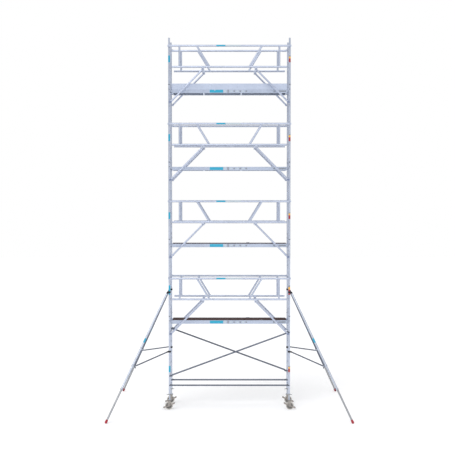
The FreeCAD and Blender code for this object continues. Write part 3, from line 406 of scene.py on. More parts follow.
frame_metal = metal("drawn_tube", (0.62, 0.665, 0.77), (0.48, 0.53, 0.64), 0.36, grain=(9, 9, 0.5))
weld_metal = metal("weld_bead", (0.60, 0.64, 0.74), (0.42, 0.46, 0.55), 0.45, lines=400, depth=0.6)
zinc = metal("zinc_wire", (0.52, 0.54, 0.58), (0.36, 0.38, 0.42), 0.38, lines=160)
black_plastic = plastic("black_plastic", (0.006, 0.006, 0.008), (0.025, 0.025, 0.028), 0.5)
label_colours = {
    "cyan": plastic("label_cyan", (0.020, 0.36, 0.55), (0.06, 0.42, 0.58), 0.35, depth=0.05),
    "pale": plastic("label_pale", (0.50, 0.58, 0.64), (0.42, 0.50, 0.56), 0.35, depth=0.05),
    "grey": plastic("label_grey", (0.26, 0.29, 0.34), (0.34, 0.38, 0.43), 0.4, depth=0.05),
    "amber": plastic("label_amber", (0.85, 0.45, 0.04), (0.88, 0.55, 0.12), 0.35, depth=0.05),
    "red": plastic("label_red", (0.36, 0.030, 0.042), (0.42, 0.08, 0.08), 0.35, depth=0.05)}
dress(frame_metal, "top_end_frames", *[f"end_frames_{lift + 1}" for lift in range(LIFTS)])


def rung_welds(height, radius):
    """Beads round both ends of the rungs at one height, on both frames."""
    weld_y = HALF_WIDTH - POST_RADIUS
    return [ring((side_x * HALF_BAY, side_y * weld_y, height), (0, 1, 0), radius, WELD_BEAD, *WELD_STEPS)
            for side_x in SIDES for side_y in SIDES]


def joint_clips(joint):
    """A wire clip round each post and the two sprung pins that it ties together."""
    parts = []
    for corner, side_x, side_y in CORNERS:
        x, y = side_x * HALF_BAY, side_y * HALF_WIDTH
        parts.append(ring((x, y, joint + CLIP_RISE), (CLIP_LEAN * side_x, 0, 1), POST_RADIUS + 3 * CLIP_WIRE,
                          CLIP_WIRE, *CLIP_STEPS))
        for rise in PIN_RISES:
            face = (x, y + side_y * (POST_RADIUS - PIN_SUNK), joint + rise)
            parts.append(lathe(PIN_OUTLINE, standing(face, (0, side_y, 0)), 16))
    return parts


def post_rivets(joint):
    """Blind rivets that hold a spigot in the top of each post."""
    parts = []
    for drop in RIVET_DROPS:
        for corner, side_x, side_y in CORNERS:
            face = (side_x * HALF_BAY, side_y * (HALF_WIDTH + POST_RADIUS - RIVET_SUNK), joint - drop)
            parts.append(dome(standing(face, (0, side_y, 0)), *POST_RIVET))
    return parts


def post_label(name, colour, side_x, low, high):
    """A label on the outer face of a front post."""
    axis_low = (side_x * HALF_BAY, -HALF_WIDTH, low)
    axis_high = (side_x * HALF_BAY, -HALF_WIDTH, high)
    part = wrap(axis_low, axis_high, POST_RADIUS + LABEL_FILM, (0, -1, 0), LABEL_WRAP)
    piece(name, [part], label_colours[colour], "tower")


for lift in range(LIFTS):
    foot = lift_foot(lift)
    beads = []
    for count in range(RUNG_COUNT):
        beads += rung_welds(foot + FIRST_RUNG + count * RUNG_PITCH, RUNG_RADIUS)
    piece(f"rung_welds_{lift + 1}", beads, weld_metal, "tower", sharp=80)
    piece(f"joint_clips_{lift + 1}", joint_clips(foot + LIFT_PITCH), black_plastic, "tower")
    piece(f"spigot_rivets_{lift + 1}", post_rivets(foot + LIFT_PITCH), zinc, "tower")
top_joint = lift_foot(LIFTS)
top_beads = [bead for rise in TOP_RUNGS for bead in rung_welds(top_joint + rise, TOP_RUNG_RADIUS)]
piece("rung_welds_top", top_beads, weld_metal, "tower", sharp=80)

LABEL_RUNS = ((0.96, 1.12), (2.94, 3.18), (4.87, 5.04), (6.84, 7.02), (8.83, 9.00))
LABEL_SHARES = (("red", 0.0, 0.55), ("amber", 0.57, 0.82), ("grey", 0.84, 1.0))
for count, (low, high) in enumerate(LABEL_RUNS, start=1):
    post_label(f"post_label_left_{count}", "cyan", -1, low, high)
    for colour, start, end in LABEL_SHARES:
        post_label(f"post_label_{colour}_{count}", colour, 1, low + start * (high - low),
                   low + end * (high - low))

# ---------------------------------------------------------------------------- guardrail frames
# Welded frames of the same tube with a cast claw at each end of the top rail. Each hooks onto the
# outside of the posts; a sprung latch closes the claw, and cheek plates carry the folding struts.
GUARD_PLANE = HALF_WIDTH + 0.06
RAIL_RADIUS = 0.0254
STILE_RADIUS = 0.024
GUARD_TOP = 2.953
KNEE = GUARD_TOP - 0.53
STILE_REACH = 1.26
STAY_TOP_REACH = 0.825
STAY_FOOT_REACH = 0.50
PIVOT_REACH = 0.671
PIVOT_HEIGHT = KNEE - 0.058
RAIL_END = HALF_BAY - 0.06
KNEE_END = HALF_BAY - 0.085
LATCH_REACH = HALF_BAY - 0.047
LATCH_INSET = 0.062
LATCH_HALF = 0.010
LATCH_RUN = (-0.012, 0.030)
LATCH_RISES = (0.0215, 0.029)
CATCH_RIM = 0.003
CLAW_FACE, CLAW_BOLT = 0.0250, (0.013, 0.005)
CHEEK_FACE, PIVOT_BOLT = 0.0310, (0.021, 0.0085)
CAP_GAP = 0.0045
CAP_OUTLINE = [(0, 0), (0.0252, 0), (0.0268, 0.0015), (0.0262, 0.004), (0, 0.0055)]
RAIL_LABELS = (("cyan", -0.33, -0.10), ("pale", -0.09, 0.29))
RAIL_LABEL_FACING = (0, -1, 0.15)
RAIL_LABEL_WRAP = LABEL_WRAP * 0.7

rail_metal = metal("rail_tube", (0.58, 0.63, 0.75), (0.46, 0.51, 0.63), 0.38, grain=(0.5, 9, 9))
dark_steel = metal("dark_bolts", (0.16, 0.17, 0.20), (0.08, 0.09, 0.11), 0.42, lines=200)
latch_plastic = plastic("latch_plastic", (0.16, 0.20, 0.33), (0.26, 0.30, 0.42), 0.4)
dress(rail_metal, *[f"guardrails_{lift + 1}" for lift in range(LIFTS)])


def upright_welds(top_x, foot_x, plane, foot):
    """Beads where a stile or stay meets the two rails."""
    low = Vector((foot_x, plane, foot + KNEE))
    high = Vector((top_x, plane, foot + GUARD_TOP))
    run = (high - low).normalized()
    back = RAIL_RADIUS / abs(run.z)
    return [ring(low + run * back, run, STILE_RADIUS, WELD_BEAD, *WELD_STEPS),
            ring(high - run * back, run, STILE_RADIUS, WELD_BEAD, *WELD_STEPS)]


def guard_welds(side_x, plane, foot):
    """Beads at one end of a frame: stile, stay and claw."""
    claw_root = (side_x * RAIL_END, plane, foot + GUARD_TOP)
    return (upright_welds(side_x * STILE_REACH, side_x * STILE_REACH, plane, foot)
            + upright_welds(side_x * STAY_TOP_REACH, side_x * STAY_FOOT_REACH, plane, foot)
            + [ring(claw_root, (1, 0, 0), RAIL_RADIUS - 0.001, WELD_BEAD, 24, 6)])


def claw_latch(side_x, side_y, foot):
    """The thumb latch above a claw."""
    x, y, z = side_x * LATCH_REACH, side_y * (GUARD_PLANE - LATCH_INSET), foot + GUARD_TOP
    return slab((x - LATCH_HALF, y + LATCH_RUN[0], z + LATCH_RISES[0]),
                (x + LATCH_HALF, y + LATCH_RUN[1], z + LATCH_RISES[1]), CATCH_RIM)


def guard_bolts(side_x, side_y, foot):
    """A claw's bolt, and the head and nut of the bolt through the cheek plates."""
    plane = side_y * GUARD_PLANE
    claw_face = (side_x * HALF_BAY, plane + side_y * CLAW_FACE, foot + GUARD_TOP)
    parts = [hexagon(standing(claw_face, (0, side_y, 0)), *CLAW_BOLT)]
    for way in SIDES:
        cheek = (side_x * PIVOT_REACH, plane + way * CHEEK_FACE, foot + PIVOT_HEIGHT)
        parts.append(hexagon(standing(cheek, (0, way, 0)), *PIVOT_BOLT))
    return parts


def rail_cap(side_x, plane, foot):
    """The plug in an open end of a knee rail."""
    return lathe(CAP_OUTLINE, standing((side_x * (KNEE_END + CAP_GAP), plane, foot + KNEE), (side_x, 0, 0)))


for lift in range(LIFTS):
    foot = lift_foot(lift)
    beads, latches, bolts, caps = [], [], [], []
    for side_y in SIDES:
        for side_x in SIDES:
            beads += guard_welds(side_x, side_y * GUARD_PLANE, foot)
            latches.append(claw_latch(side_x, side_y, foot))
            bolts += guard_bolts(side_x, side_y, foot)
            caps.append(rail_cap(side_x, side_y * GUARD_PLANE, foot))
    piece(f"guard_welds_{lift + 1}", beads, weld_metal, "tower", sharp=80)
    piece(f"guard_latches_{lift + 1}", latches, latch_plastic, "tower")
    piece(f"guard_bolts_{lift + 1}", bolts, dark_steel, "tower")
    piece(f"rail_caps_{lift + 1}", caps, latch_plastic, "tower")
    for colour, start, end in RAIL_LABELS:
        rail_label = wrap((start, -GUARD_PLANE, foot + GUARD_TOP), (end, -GUARD_PLANE, foot + GUARD_TOP),
                          RAIL_RADIUS + LABEL_FILM, RAIL_LABEL_FACING, RAIL_LABEL_WRAP)
        piece(f"rail_label_{colour}_{lift + 1}", [rail_label], label_colours[colour], "tower")

# ---------------------------------------------------------------------------- folding struts
# Each strut swings on a bolt between the cheek plates. A cast claw at its foot, lined with a rubber
# pad, leans on the post, and a bolt through the tube holds the claw.
STRUT_FOOT = FIRST_RUNG + 5 * RUNG_PITCH
STRUT_REACH = HALF_BAY - 0.038
STRUT_COLLAR_PLACE = 0.050
STRUT_COLLAR = [(0.0222, 0), (0.0238, 0), (0.0238, 0.006), (0.0222, 0.006)]
CLAW_WELD_PLACE, CLAW_WELD_RADIUS = 0.030, 0.0225
STRUT_RIVET_PLACE, STRUT_RIVET_FACE = 0.075, 0.0218
STRUT_RIVET = (0.006, 0.004)
LINER_REACH = HALF_BAY - 0.0345
LINER_HALF_LENGTH, LINER_HALF_HEIGHT = 0.034, 0.0205
LINER_GAP, LINER_BACK = 0.0265, 0.026
strut_metal = metal("strut_tube", (0.58, 0.63, 0.76), (0.44, 0.49, 0.62), 0.38, grain=(4, 9, 4))


def strut_liner(side_x, side_y, foot):
    """The rubber pad between a claw and its post."""
    x, z = side_x * LINER_REACH, foot + STRUT_FOOT
    near, far = between(side_y * (HALF_WIDTH + POST_RADIUS + LINER_GAP), side_y * (GUARD_PLANE + LINER_BACK))
    return slab((x - LINER_HALF_LENGTH, near, z - LINER_HALF_HEIGHT),
                (x + LINER_HALF_LENGTH, far, z + LINER_HALF_HEIGHT), CATCH_RIM)


for lift in range(LIFTS):
    foot = lift_foot(lift)
    for side_name, side_x in (("left", -1), ("right", 1)):
        body = f"guard_struts_{side_name}_{lift + 1}"
        dress(strut_metal, body)
        liners, rivets, beads = [], [], []
        for side_y in SIDES:
            pivot = Vector((side_x * PIVOT_REACH, side_y * GUARD_PLANE, foot + PIVOT_HEIGHT))
            claw = Vector((side_x * STRUT_REACH, side_y * GUARD_PLANE, foot + STRUT_FOOT))
            run = (claw - pivot).normalized()
            liners.append(strut_liner(side_x, side_y, foot))
            beads.append(ring(claw - run * CLAW_WELD_PLACE, run, CLAW_WELD_RADIUS, WELD_BEAD, *WELD_STEPS))
            beads.append(lathe(STRUT_COLLAR, standing(pivot + run * STRUT_COLLAR_PLACE, run)))
            for way in SIDES:
                face = claw - run * STRUT_RIVET_PLACE + Vector((0, way * STRUT_RIVET_FACE, 0))
                rivets.append(dome(standing(face, (0, way, 0)), *STRUT_RIVET))
        piece(f"strut_pads_{side_name}_{lift + 1}", liners, latch_plastic, body)
        piece(f"strut_welds_{side_name}_{lift + 1}", beads, weld_metal, body, sharp=80)
        piece(f"strut_rivets_{side_name}_{lift + 1}", rivets, zinc, body)

# ---------------------------------------------------------------------------- platforms
# Extruded side beams, end beams and cross members are welded into a frame that hangs by cast hooks
# on the rungs. Film-faced plywood is screwed down on it: brown and gritty above, smooth below, where
# its dark bluish colour is painted shade.
DECK_RISE = mount_places["platform_1"].z - FRAME_FOOT
DECK_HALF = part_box("deck_frame_1")[1].y
BEAM_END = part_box("toe_boards")[1].x
BOARD = 0.012
BOARD_RIM = 0.0012
BOARD_HALF = DECK_HALF - 0.0303
HATCH_START, HATCH_END = 0.320, 1.302
BOARD_RUNS = ((-BEAM_END + 0.0003, HATCH_START), (HATCH_END, BEAM_END - 0.0003))
MEMBER_PLACES = (-BEAM_END + 0.015, -0.653, HATCH_START - 0.018, HATCH_END + 0.018, BEAM_END - 0.015)
MEMBER_RIVET_DROPS = (0.026, 0.062)
MEMBER_RIVET, HOOK_RIVET = (0.0060, 0.0026), (0.0075, 0.0035)
SCREW_PITCH = 0.244
SCREW_MARGIN, SCREW_INSET = 0.02, 0.009
SCREW_OUTLINE = [(0, 0), (0.0055, 0), (0.0052, 0.0005), (0.002, 0.0002), (0, 0.0002)]
LIP_DROPS = (0.002, 0.084)
LIP_HEIGHT, LIP_RISE, LIP_SUNK, LIP_RIM = 0.005, 0.0012, 0.0004, 0.0006
HOOK_DROP = 0.0435
HOOK_RIVET_PLACE = 0.016
HOOK_PLACE, CATCH_HALF = 0.285, 0.011
CATCH_RUN = (0.004, 0.036)
CATCH_DROPS = (0.030, 0.0195)
BROAD_BAND, NARROW_BAND = (0.008, 0.073), (0.024, 0.040)    # drop and height of the beam's labels
BEAM_LABEL_FACES = (0.0018, 0.0010)
SQUARES_START, SQUARE_PITCH, SQUARE_LENGTH = -0.13, 0.077, 0.042

deck_metal = metal("deck_extrusion", (0.55, 0.61, 0.74), (0.42, 0.48, 0.60), 0.36, grain=(0.4, 9, 9),
                   lines=90)


def film_faced_plywood():
    """Brown film with a printed wire mesh above, a dark bluish underside that is painted shade, birch layers
    at the edges.
    """
    material, nodes, links = new_material("film_faced_plywood")
    shader = nodes["Principled BSDF"]
    place = nodes.new("ShaderNodeTexCoord")
    facing = nodes.new("ShaderNodeSeparateXYZ")
    links.new(place.outputs["Normal"], facing.inputs[0])
    wear = texture(nodes, links, "ShaderNodeTexNoise", 3.5, Detail=9.0, Roughness=0.7)
    layers = texture(nodes, links, "ShaderNodeTexWave", 260, (0, 0, 1), Distortion=0.6, Detail=2.0)
    mesh_print = texture(nodes, links, "ShaderNodeTexVoronoi", 160, (1, 1.6, 1), "Distance")
    worn = spread(nodes, links, wear, 0, 1)
    upper = mixed(nodes, links, worn, (0.045, 0.020, 0.017), (0.080, 0.042, 0.034))
    # Painted shade: the underside gets a dark bluish colour in place of the shade under the deck.
    painted_shade_below = mixed(nodes, links, worn, (0.008, 0.009, 0.017), (0.018, 0.020, 0.034))
    edge = mixed(nodes, links, spread(nodes, links, layers, 0, 1), (0.30, 0.19, 0.11), (0.10, 0.055, 0.035))
    side = mixed(nodes, links, spread(nodes, links, facing.outputs["Z"], 0, 1, 0.4, 0.6), edge, upper)
    # Faces that turn downwards take the painted shade.
    whole = mixed(nodes, links, spread(nodes, links, facing.outputs["Z"], 1, 0, -0.6, -0.4), side, painted_shade_below)
    links.new(whole, shader.inputs["Base Color"])
    shader.inputs["Specular IOR Level"].default_value = 0.15
    links.new(spread(nodes, links, wear, 0.60, 0.80), shader.inputs["Roughness"])
    links.new(relief(nodes, links, mesh_print, 0.35, 0.0005), shader.inputs["Normal"])
    return material


plywood = film_faced_plywood()
dress(deck_metal, *[f"deck_frame_{lift + 1}" for lift in range(LIFTS)])


def board_screws(deck_top, start, end):
    """Countersunk screws along both long edges of a board."""
    count = max(1, round((end - start) / SCREW_PITCH))
    step = (end - start - 2 * SCREW_MARGIN) / count
    parts = []
    for number in range(count + 1):
        for side_y in SIDES:
            place = (start + SCREW_MARGIN + number * step, side_y * (BOARD_HALF - SCREW_INSET), deck_top)
            parts.append(lathe(SCREW_OUTLINE, Matrix.Translation(place), 10))
    return parts


def beam_lips(side_y, deck_top):
    """The two raised edges along the outside of a side beam."""
    near, far = between(side_y * DECK_HALF, side_y * (DECK_HALF + LIP_RISE), LIP_SUNK)
    return [slab((-BEAM_END, near, deck_top - drop - LIP_HEIGHT), (BEAM_END, far, deck_top - drop), LIP_RIM)
            for drop in LIP_DROPS]


def beam_rivets(side_y, deck_top):
    """Rivets into the members and the hooks, on the outside of a side beam."""
    heads = [(member, drop, MEMBER_RIVET) for member in MEMBER_PLACES for drop in MEMBER_RIVET_DROPS]
    heads += [(side_x * (BEAM_END + HOOK_RIVET_PLACE), HOOK_DROP, HOOK_RIVET) for side_x in SIDES]
    return [dome(standing((x, side_y * DECK_HALF, deck_top - drop), (0, side_y, 0)), *rivet)
            for x, drop, rivet in heads]


def hook_catch(side_x, side_y, deck_top):
    """The sprung catch that closes a hook under its rung."""
    inner, outer = between(side_x * (BEAM_END + CATCH_RUN[0]), side_x * (BEAM_END + CATCH_RUN[1]))
    return slab((inner, side_y * HOOK_PLACE - CATCH_HALF, deck_top - HOOK_DROP - CATCH_DROPS[0]),
                (outer, side_y * HOOK_PLACE + CATCH_HALF, deck_top - HOOK_DROP - CATCH_DROPS[1]), CATCH_RIM)


def beam_label(start, end, deck_top):
    """A label on the front beam; those left of the middle are taller."""
    drop, height = BROAD_BAND if end < 0 else NARROW_BAND
    return slab((start, -DECK_HALF - BEAM_LABEL_FACES[0], deck_top - drop - height),
                (end, -DECK_HALF - BEAM_LABEL_FACES[1], deck_top - drop), 0.0002, 1)


squares = [(SQUARES_START + SQUARE_PITCH * number, SQUARES_START + SQUARE_PITCH * number + SQUARE_LENGTH)
           for number in range(8)]
BEAM_LABELS = {"cyan": [(-0.50, -0.16)], "pale": squares[0::2],
               "grey": squares[1::2] + [(1.12, 1.16), (1.26, 1.44)]}
for lift in range(LIFTS):
    deck_top = lift_foot(lift) + DECK_RISE
    boards = [slab((start, -BOARD_HALF, deck_top - BOARD), (end, BOARD_HALF, deck_top), BOARD_RIM)
              for start, end in BOARD_RUNS]
    fixed = piece(f"plywood_{lift + 1}", boards, plywood, "tower")
    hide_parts(f"deck_panel_{lift + 1}")
    screws = [screw for start, end in BOARD_RUNS for screw in board_screws(deck_top, start, end)]
    piece(f"plywood_screws_{lift + 1}", screws, zinc, "tower")
    lips = [lip for side_y in SIDES for lip in beam_lips(side_y, deck_top)]
    rivets = [rivet for side_y in SIDES for rivet in beam_rivets(side_y, deck_top)]
    catches = [hook_catch(side_x, side_y, deck_top) for side_y in SIDES for side_x in SIDES]
    piece(f"beam_lips_{lift + 1}", lips, deck_metal, "tower")
    piece(f"beam_rivets_{lift + 1}", rivets, zinc, "tower")
    piece(f"hook_catches_{lift + 1}", catches, black_plastic, "tower")
    for colour, spans in BEAM_LABELS.items():
        labels = [beam_label(start, end, deck_top) for start, end in spans]
        piece(f"beam_label_{colour}_{lift + 1}", labels, label_colours[colour], "tower")

# ---------------------------------------------------------------------------- trapdoors
# A lid of the same plywood hangs on two zinc-plated strap hinges. A flush latch plate with a
# pull ring sits near its free edge, screwed through the board.
LID_START, LID_END = HATCH_START + 0.004, HATCH_END - 0.004
LID_MIDDLE = (LID_START + LID_END) / 2
LID_HALF = 0.268
LID_THINNER = 0.0003
HINGE_Y, HINGE_RISE, HINGE_SPREAD = 0.274, 0.0063, 0.330
KNUCKLE_OUTLINE = [(0.0032, -0.020), (0.0055, -0.020), (0.0060, -0.0193), (0.0060, 0.0193), (0.0055, 0.020),
                   (0.0032, 0.020)]
LEAF_HALF, LEAF_START, LEAF_END = 0.017, 0.222, HINGE_Y - 0.002
LEAF_RISES = (0.0002, 0.0030)
LEAF_SCREW_PLACES, LEAF_SCREW = (0.230, 0.248), (0.0045, 0.0014)
LATCH_Y = -0.210
LATCH_PLATE = (0.045, 0.018, 0.0018)    # half length, half width and thickness
PULL_RADIUS, PULL_WIRE, PULL_RISE = 0.0125, 0.0012, 0.0021
LATCH_SCREW_REACH, LATCH_SCREW = 0.036, (0.0042, 0.0013)
SCREW_SUNK = 0.0002
FITTING_RIM = 0.0008


def strap_hinge(x, deck_top):
    """The lid's knuckle and leaf of one hinge, with the leaf's screws."""
    leaf_top = deck_top + LEAF_RISES[1]
    knuckle = lathe(KNUCKLE_OUTLINE, standing((x, HINGE_Y, deck_top + HINGE_RISE), (1, 0, 0)), 20)
    leaf = slab((x - LEAF_HALF, LEAF_START, deck_top + LEAF_RISES[0]), (x + LEAF_HALF, LEAF_END, leaf_top),
                FITTING_RIM)
    screws = [dome(Matrix.Translation((x, y, leaf_top - SCREW_SUNK)), *LEAF_SCREW) for y in LEAF_SCREW_PLACES]
    return [knuckle, leaf] + screws


def latch_plate(deck_top):
    """The flush plate, its pull ring and two screws."""
    half_length, half_width, thickness = LATCH_PLATE
    face = slab((LID_MIDDLE - half_length, LATCH_Y - half_width, deck_top),
                (LID_MIDDLE + half_length, LATCH_Y + half_width, deck_top + thickness), FITTING_RIM)
    pull = ring((LID_MIDDLE, LATCH_Y, deck_top + PULL_RISE), (0, 0, 1), PULL_RADIUS, PULL_WIRE, 24, 6)
    screws = []
    for way in SIDES:
        seat = (LID_MIDDLE + way * LATCH_SCREW_REACH, LATCH_Y, deck_top + thickness - SCREW_SUNK)
        screws.append(dome(Matrix.Translation(seat), *LATCH_SCREW))
    return [face, pull] + screws


for lift in range(LIFTS):
    body = f"trapdoor_{lift + 1}"
    deck_top = lift_foot(lift) + DECK_RISE
    board = slab((LID_START, -LID_HALF, deck_top - BOARD + LID_THINNER), (LID_END, LID_HALF, deck_top),
                 BOARD_RIM)
    lid = piece(f"lid_board_{lift + 1}", [board], plywood, body)
    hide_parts(body)
    fittings = [part for way in SIDES for part in strap_hinge(LID_MIDDLE + way * HINGE_SPREAD, deck_top)]
    piece(f"lid_fittings_{lift + 1}", fittings + latch_plate(deck_top), zinc, body)

# ---------------------------------------------------------------------------- toe boards
# Hollow aluminium extrusions on edge round the topmost platform, ribbed along their length. Plastic
# end caps close them and spring clips hold them to the side beams.
toe_low, toe_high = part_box("toe_boards")
TOE_THICKNESS = 0.018
RIB_PLACES = (0.006, 0.072, 0.140)
RIB_HEIGHT, RIB_RISE, RIB_SUNK, RIB_RIM = 0.005, 0.0014, 0.0003, 0.0007
TOE_CLIP_PLACES = (-1.10, -0.37, 0.37, 1.10)
TOE_CLIP_HALF, TOE_CLIP_DEPTH, TOE_CLIP_RIM = 0.014, 0.004, 0.0015
TOE_CLIP_RUN = (-0.030, 0.042)
TOE_CAP_RUN = (0.0001, 0.0024)
TOE_CAP_INSET, TOE_CAP_RIM = 0.0005, 0.0008
SHORT_BOARD_END = toe_high.y - TOE_THICKNESS - 0.001
toe_metal = metal("toe_extrusion", (0.60, 0.66, 0.80), (0.50, 0.56, 0.69), 0.36, grain=(0.4, 9, 9),
                  lines=80)
dress(toe_metal, "toe_boards")


def toe_clip(x, side_y):
    """A spring clip that holds a long board on its beam."""
    near, far = between(side_y * toe_high.y, side_y * (toe_high.y + TOE_CLIP_DEPTH))
    return slab((x - TOE_CLIP_HALF, near, toe_low.z + TOE_CLIP_RUN[0]),
                (x + TOE_CLIP_HALF, far, toe_low.z + TOE_CLIP_RUN[1]), TOE_CLIP_RIM)


def toe_cap(side_x, side_y):
    """The cap on an end of a long board."""
    near, far = between(*[side_x * (toe_high.x + place) for place in TOE_CAP_RUN])
    inner, outer = between(side_y * toe_high.y, side_y * (toe_high.y - TOE_THICKNESS))
    return slab((near, inner, toe_low.z + TOE_CAP_INSET), (far, outer, toe_high.z), TOE_CAP_RIM)


ribs = []
for side in SIDES:
    near, far = between(side * toe_high.y, side * (toe_high.y + RIB_RISE), RIB_SUNK)
    for foot in [toe_low.z + rise for rise in RIB_PLACES]:
        ribs.append(slab((toe_low.x, near, foot), (toe_high.x, far, foot + RIB_HEIGHT), RIB_RIM))
for side in SIDES:
    near, far = between(side * toe_high.x, side * (toe_high.x + RIB_RISE), RIB_SUNK)
    for foot in [toe_low.z + rise for rise in RIB_PLACES]:
        ribs.append(slab((near, -SHORT_BOARD_END, foot), (far, SHORT_BOARD_END, foot + RIB_HEIGHT), RIB_RIM))
clips = [toe_clip(x, side_y) for side_y in SIDES for x in TOE_CLIP_PLACES]
caps = [toe_cap(side_x, side_y) for side_y in SIDES for side_x in SIDES]
piece("toe_board_ribs", ribs, toe_metal, "tower")
piece("toe_board_clips", clips, toe_metal, "tower")
piece("toe_board_caps", caps, latch_plastic, "tower")

# ---------------------------------------------------------------------------- braces
# Darker, duller tubes with a cast claw riveted in each end. The claws drop over the posts and a sprung
# thumb latch keeps them there.
LEVEL_HEIGHT = FRAME_FOOT + 0.215
SLANT_LOW, SLANT_HIGH = FRAME_FOOT + 0.457, FRAME_FOOT + 1.577
BRACE_RADIUS = 0.020
BRACE_END = 1.470
BRACE_COLLAR = [(0.0198, 0), (0.0224, 0), (0.0224, 0.018), (0.0214, 0.020), (0.0198, 0.020)]
THUMB_RUN, THUMB_HALF, THUMB_RISES = (0.006, 0.034), 0.010, (0.0145, 0.0235)
BRACE_RIVET_PLACE, BRACE_RIVET = 0.045, (0.0055, 0.003)
brace_metal = metal("dull_brace_tube", (0.18, 0.20, 0.25), (0.12, 0.135, 0.175), 0.46, grain=(0.5, 9, 9))
dress(brace_metal, "horizontal_braces", "diagonal_braces")


def brace_latch(end, side_x):
    """The thumb latch on a claw."""
    inner, outer = between(*[side_x * (BRACE_END + place) for place in THUMB_RUN])
    return slab((inner, end.y - THUMB_HALF, end.z + THUMB_RISES[0]),
                (outer, end.y + THUMB_HALF, end.z + THUMB_RISES[1]), CATCH_RIM)


def brace_end_rivets(end, inwards):
    """The two heads of the rivet through a tube and its claw."""
    middle = end + inwards * BRACE_RIVET_PLACE
    face = Vector((0, BRACE_RADIUS - RIVET_SUNK, 0))
    return [dome(standing(middle + way * face, (0, way, 0)), *BRACE_RIVET) for way in SIDES]


latches, collars, rivets = [], [], []
for side_y in SIDES:
    plane = side_y * HALF_WIDTH
    for left_height, right_height in ((LEVEL_HEIGHT, LEVEL_HEIGHT), (SLANT_LOW, SLANT_HIGH)[::-side_y]):
        left, right = Vector((-BRACE_END, plane, left_height)), Vector((BRACE_END, plane, right_height))
        run = (right - left).normalized()
        for end, inwards, side_x in ((left, run, -1), (right, -run, 1)):
            collars.append(lathe(BRACE_COLLAR, standing(end, inwards)))
            latches.append(brace_latch(end, side_x))
            rivets += brace_end_rivets(end, inwards)
piece("brace_collars", collars, brace_metal, "tower")
piece("brace_latches", latches, black_plastic, "tower")
piece("brace_rivets", rivets, zinc, "tower")

# ---------------------------------------------------------------------------- castors
# A pressed steel fork on a ball-bearing head carries a grey rubber tyre on a ribbed hub. The threaded
# jack spindle stands on it under a cast wing nut, and a two-ended pedal locks wheel and swivel.
AXLE = Vector((0.020, 0, 0.100))
WHEEL_RADIUS = 0.100
HEAD_FOOT = 0.225
HEAD_TOP = 0.2497
SPINDLE_RADIUS = 0.019
SPINDLE_TOP = FRAME_FOOT + 0.300
THREAD_PITCH = 0.008
THREAD_DEPTH = 0.0022
THREAD_FOOT = 0.262
THREAD_STEPS = 20
TOOTH_FOOT, TOOTH_TIP = 0.42, 0.168    # half widths of a thread's ridge, as shares of the pitch
TOOTH_SUNK = 0.0006
NUT_FOOT, NUT_TOP = FRAME_FOOT - 0.0343, FRAME_FOOT - 0.0003
CHEEK_INNER, CHEEK_OUTER = 0.0295, 0.0355
ARM_INNER, ARM_OUTER = 0.0360, 0.0410
PEDAL_TILT = math.radians(22.5)
PAD_OUT, PAD_IN = 0.1354, -0.1493
PAD_HALF = 0.017
PAD_RISES, PAD_RIM = (0.0115, 0.0185), 0.0022
GRIP_PITCH, GRIP_HALF, GRIP_REACH, GRIP_RISES, GRIP_RIM = 0.0062, 0.0014, 0.034, (0.0175, 0.0208), 0.0009
FLANGE_BOLT_REACH, FLANGE_BOLT = 0.0305, (0.010, 0.006)
WING_HEIGHT = 0.017
PLATE_RIM = 0.0012
CROWN_HALF, CROWN_RUN = 0.034, (-0.005, 0.001)
CHEEK_FOOT, CHEEK_WAIST = (0.029, 0.026), (0.031, 0.018)
AXLE_RADIUS, AXLE_HALF, AXLE_NUT = 0.0078, 0.046, (0.024, 0.0065)
HUB_RIBS, RIB_FROM, RIB_TO = 6, (0.016, -0.0025, -0.0200), (0.071, 0.0025, 0.0200)

thread_steel = metal("zinc_thread", (0.66, 0.70, 0.78), (0.50, 0.54, 0.62), 0.36, lines=140)
cast_steel = metal("cast_nut", (0.46, 0.47, 0.48), (0.34, 0.35, 0.36), 0.5, lines=220, depth=0.4)
pressed_steel = metal("pressed_fork", (0.42, 0.395, 0.37), (0.29, 0.27, 0.255), 0.46, metallic=0.6)
pedal_steel = metal("worn_pedal", (0.44, 0.40, 0.37), (0.28, 0.25, 0.23), 0.5, metallic=0.5, depth=0.3)
tyre_rubber = plastic("grey_tyre", (0.50, 0.475, 0.44), (0.60, 0.575, 0.54), 0.6)
hub_plastic = plastic("grey_hub", (0.21, 0.204, 0.198), (0.28, 0.272, 0.262), 0.45)


def thread(radius, depth, pitch, foot, top):
    """A helical ridge standing on a shank."""
    ridge = bmesh.new()
    root = radius - depth - TOOTH_SUNK
    corners = [(root, 0, foot - pitch * TOOTH_FOOT), (root, 0, foot + pitch * TOOTH_FOOT),
               (radius, 0, foot + pitch * TOOTH_TIP), (radius, 0, foot - pitch * TOOTH_TIP)]
    tooth = ridge.faces.new([ridge.verts.new(corner) for corner in corners])
    turns = (top - foot) / pitch
    steps = round(turns * THREAD_STEPS)
    bmesh.ops.spin(ridge, geom=tooth.verts[:] + tooth.edges[:] + [tooth], cent=(0, 0, 0), axis=(0, 0, 1),
                   dvec=(0, 0, pitch / THREAD_STEPS), angle=math.tau * turns, steps=steps)
    return closed(ridge)


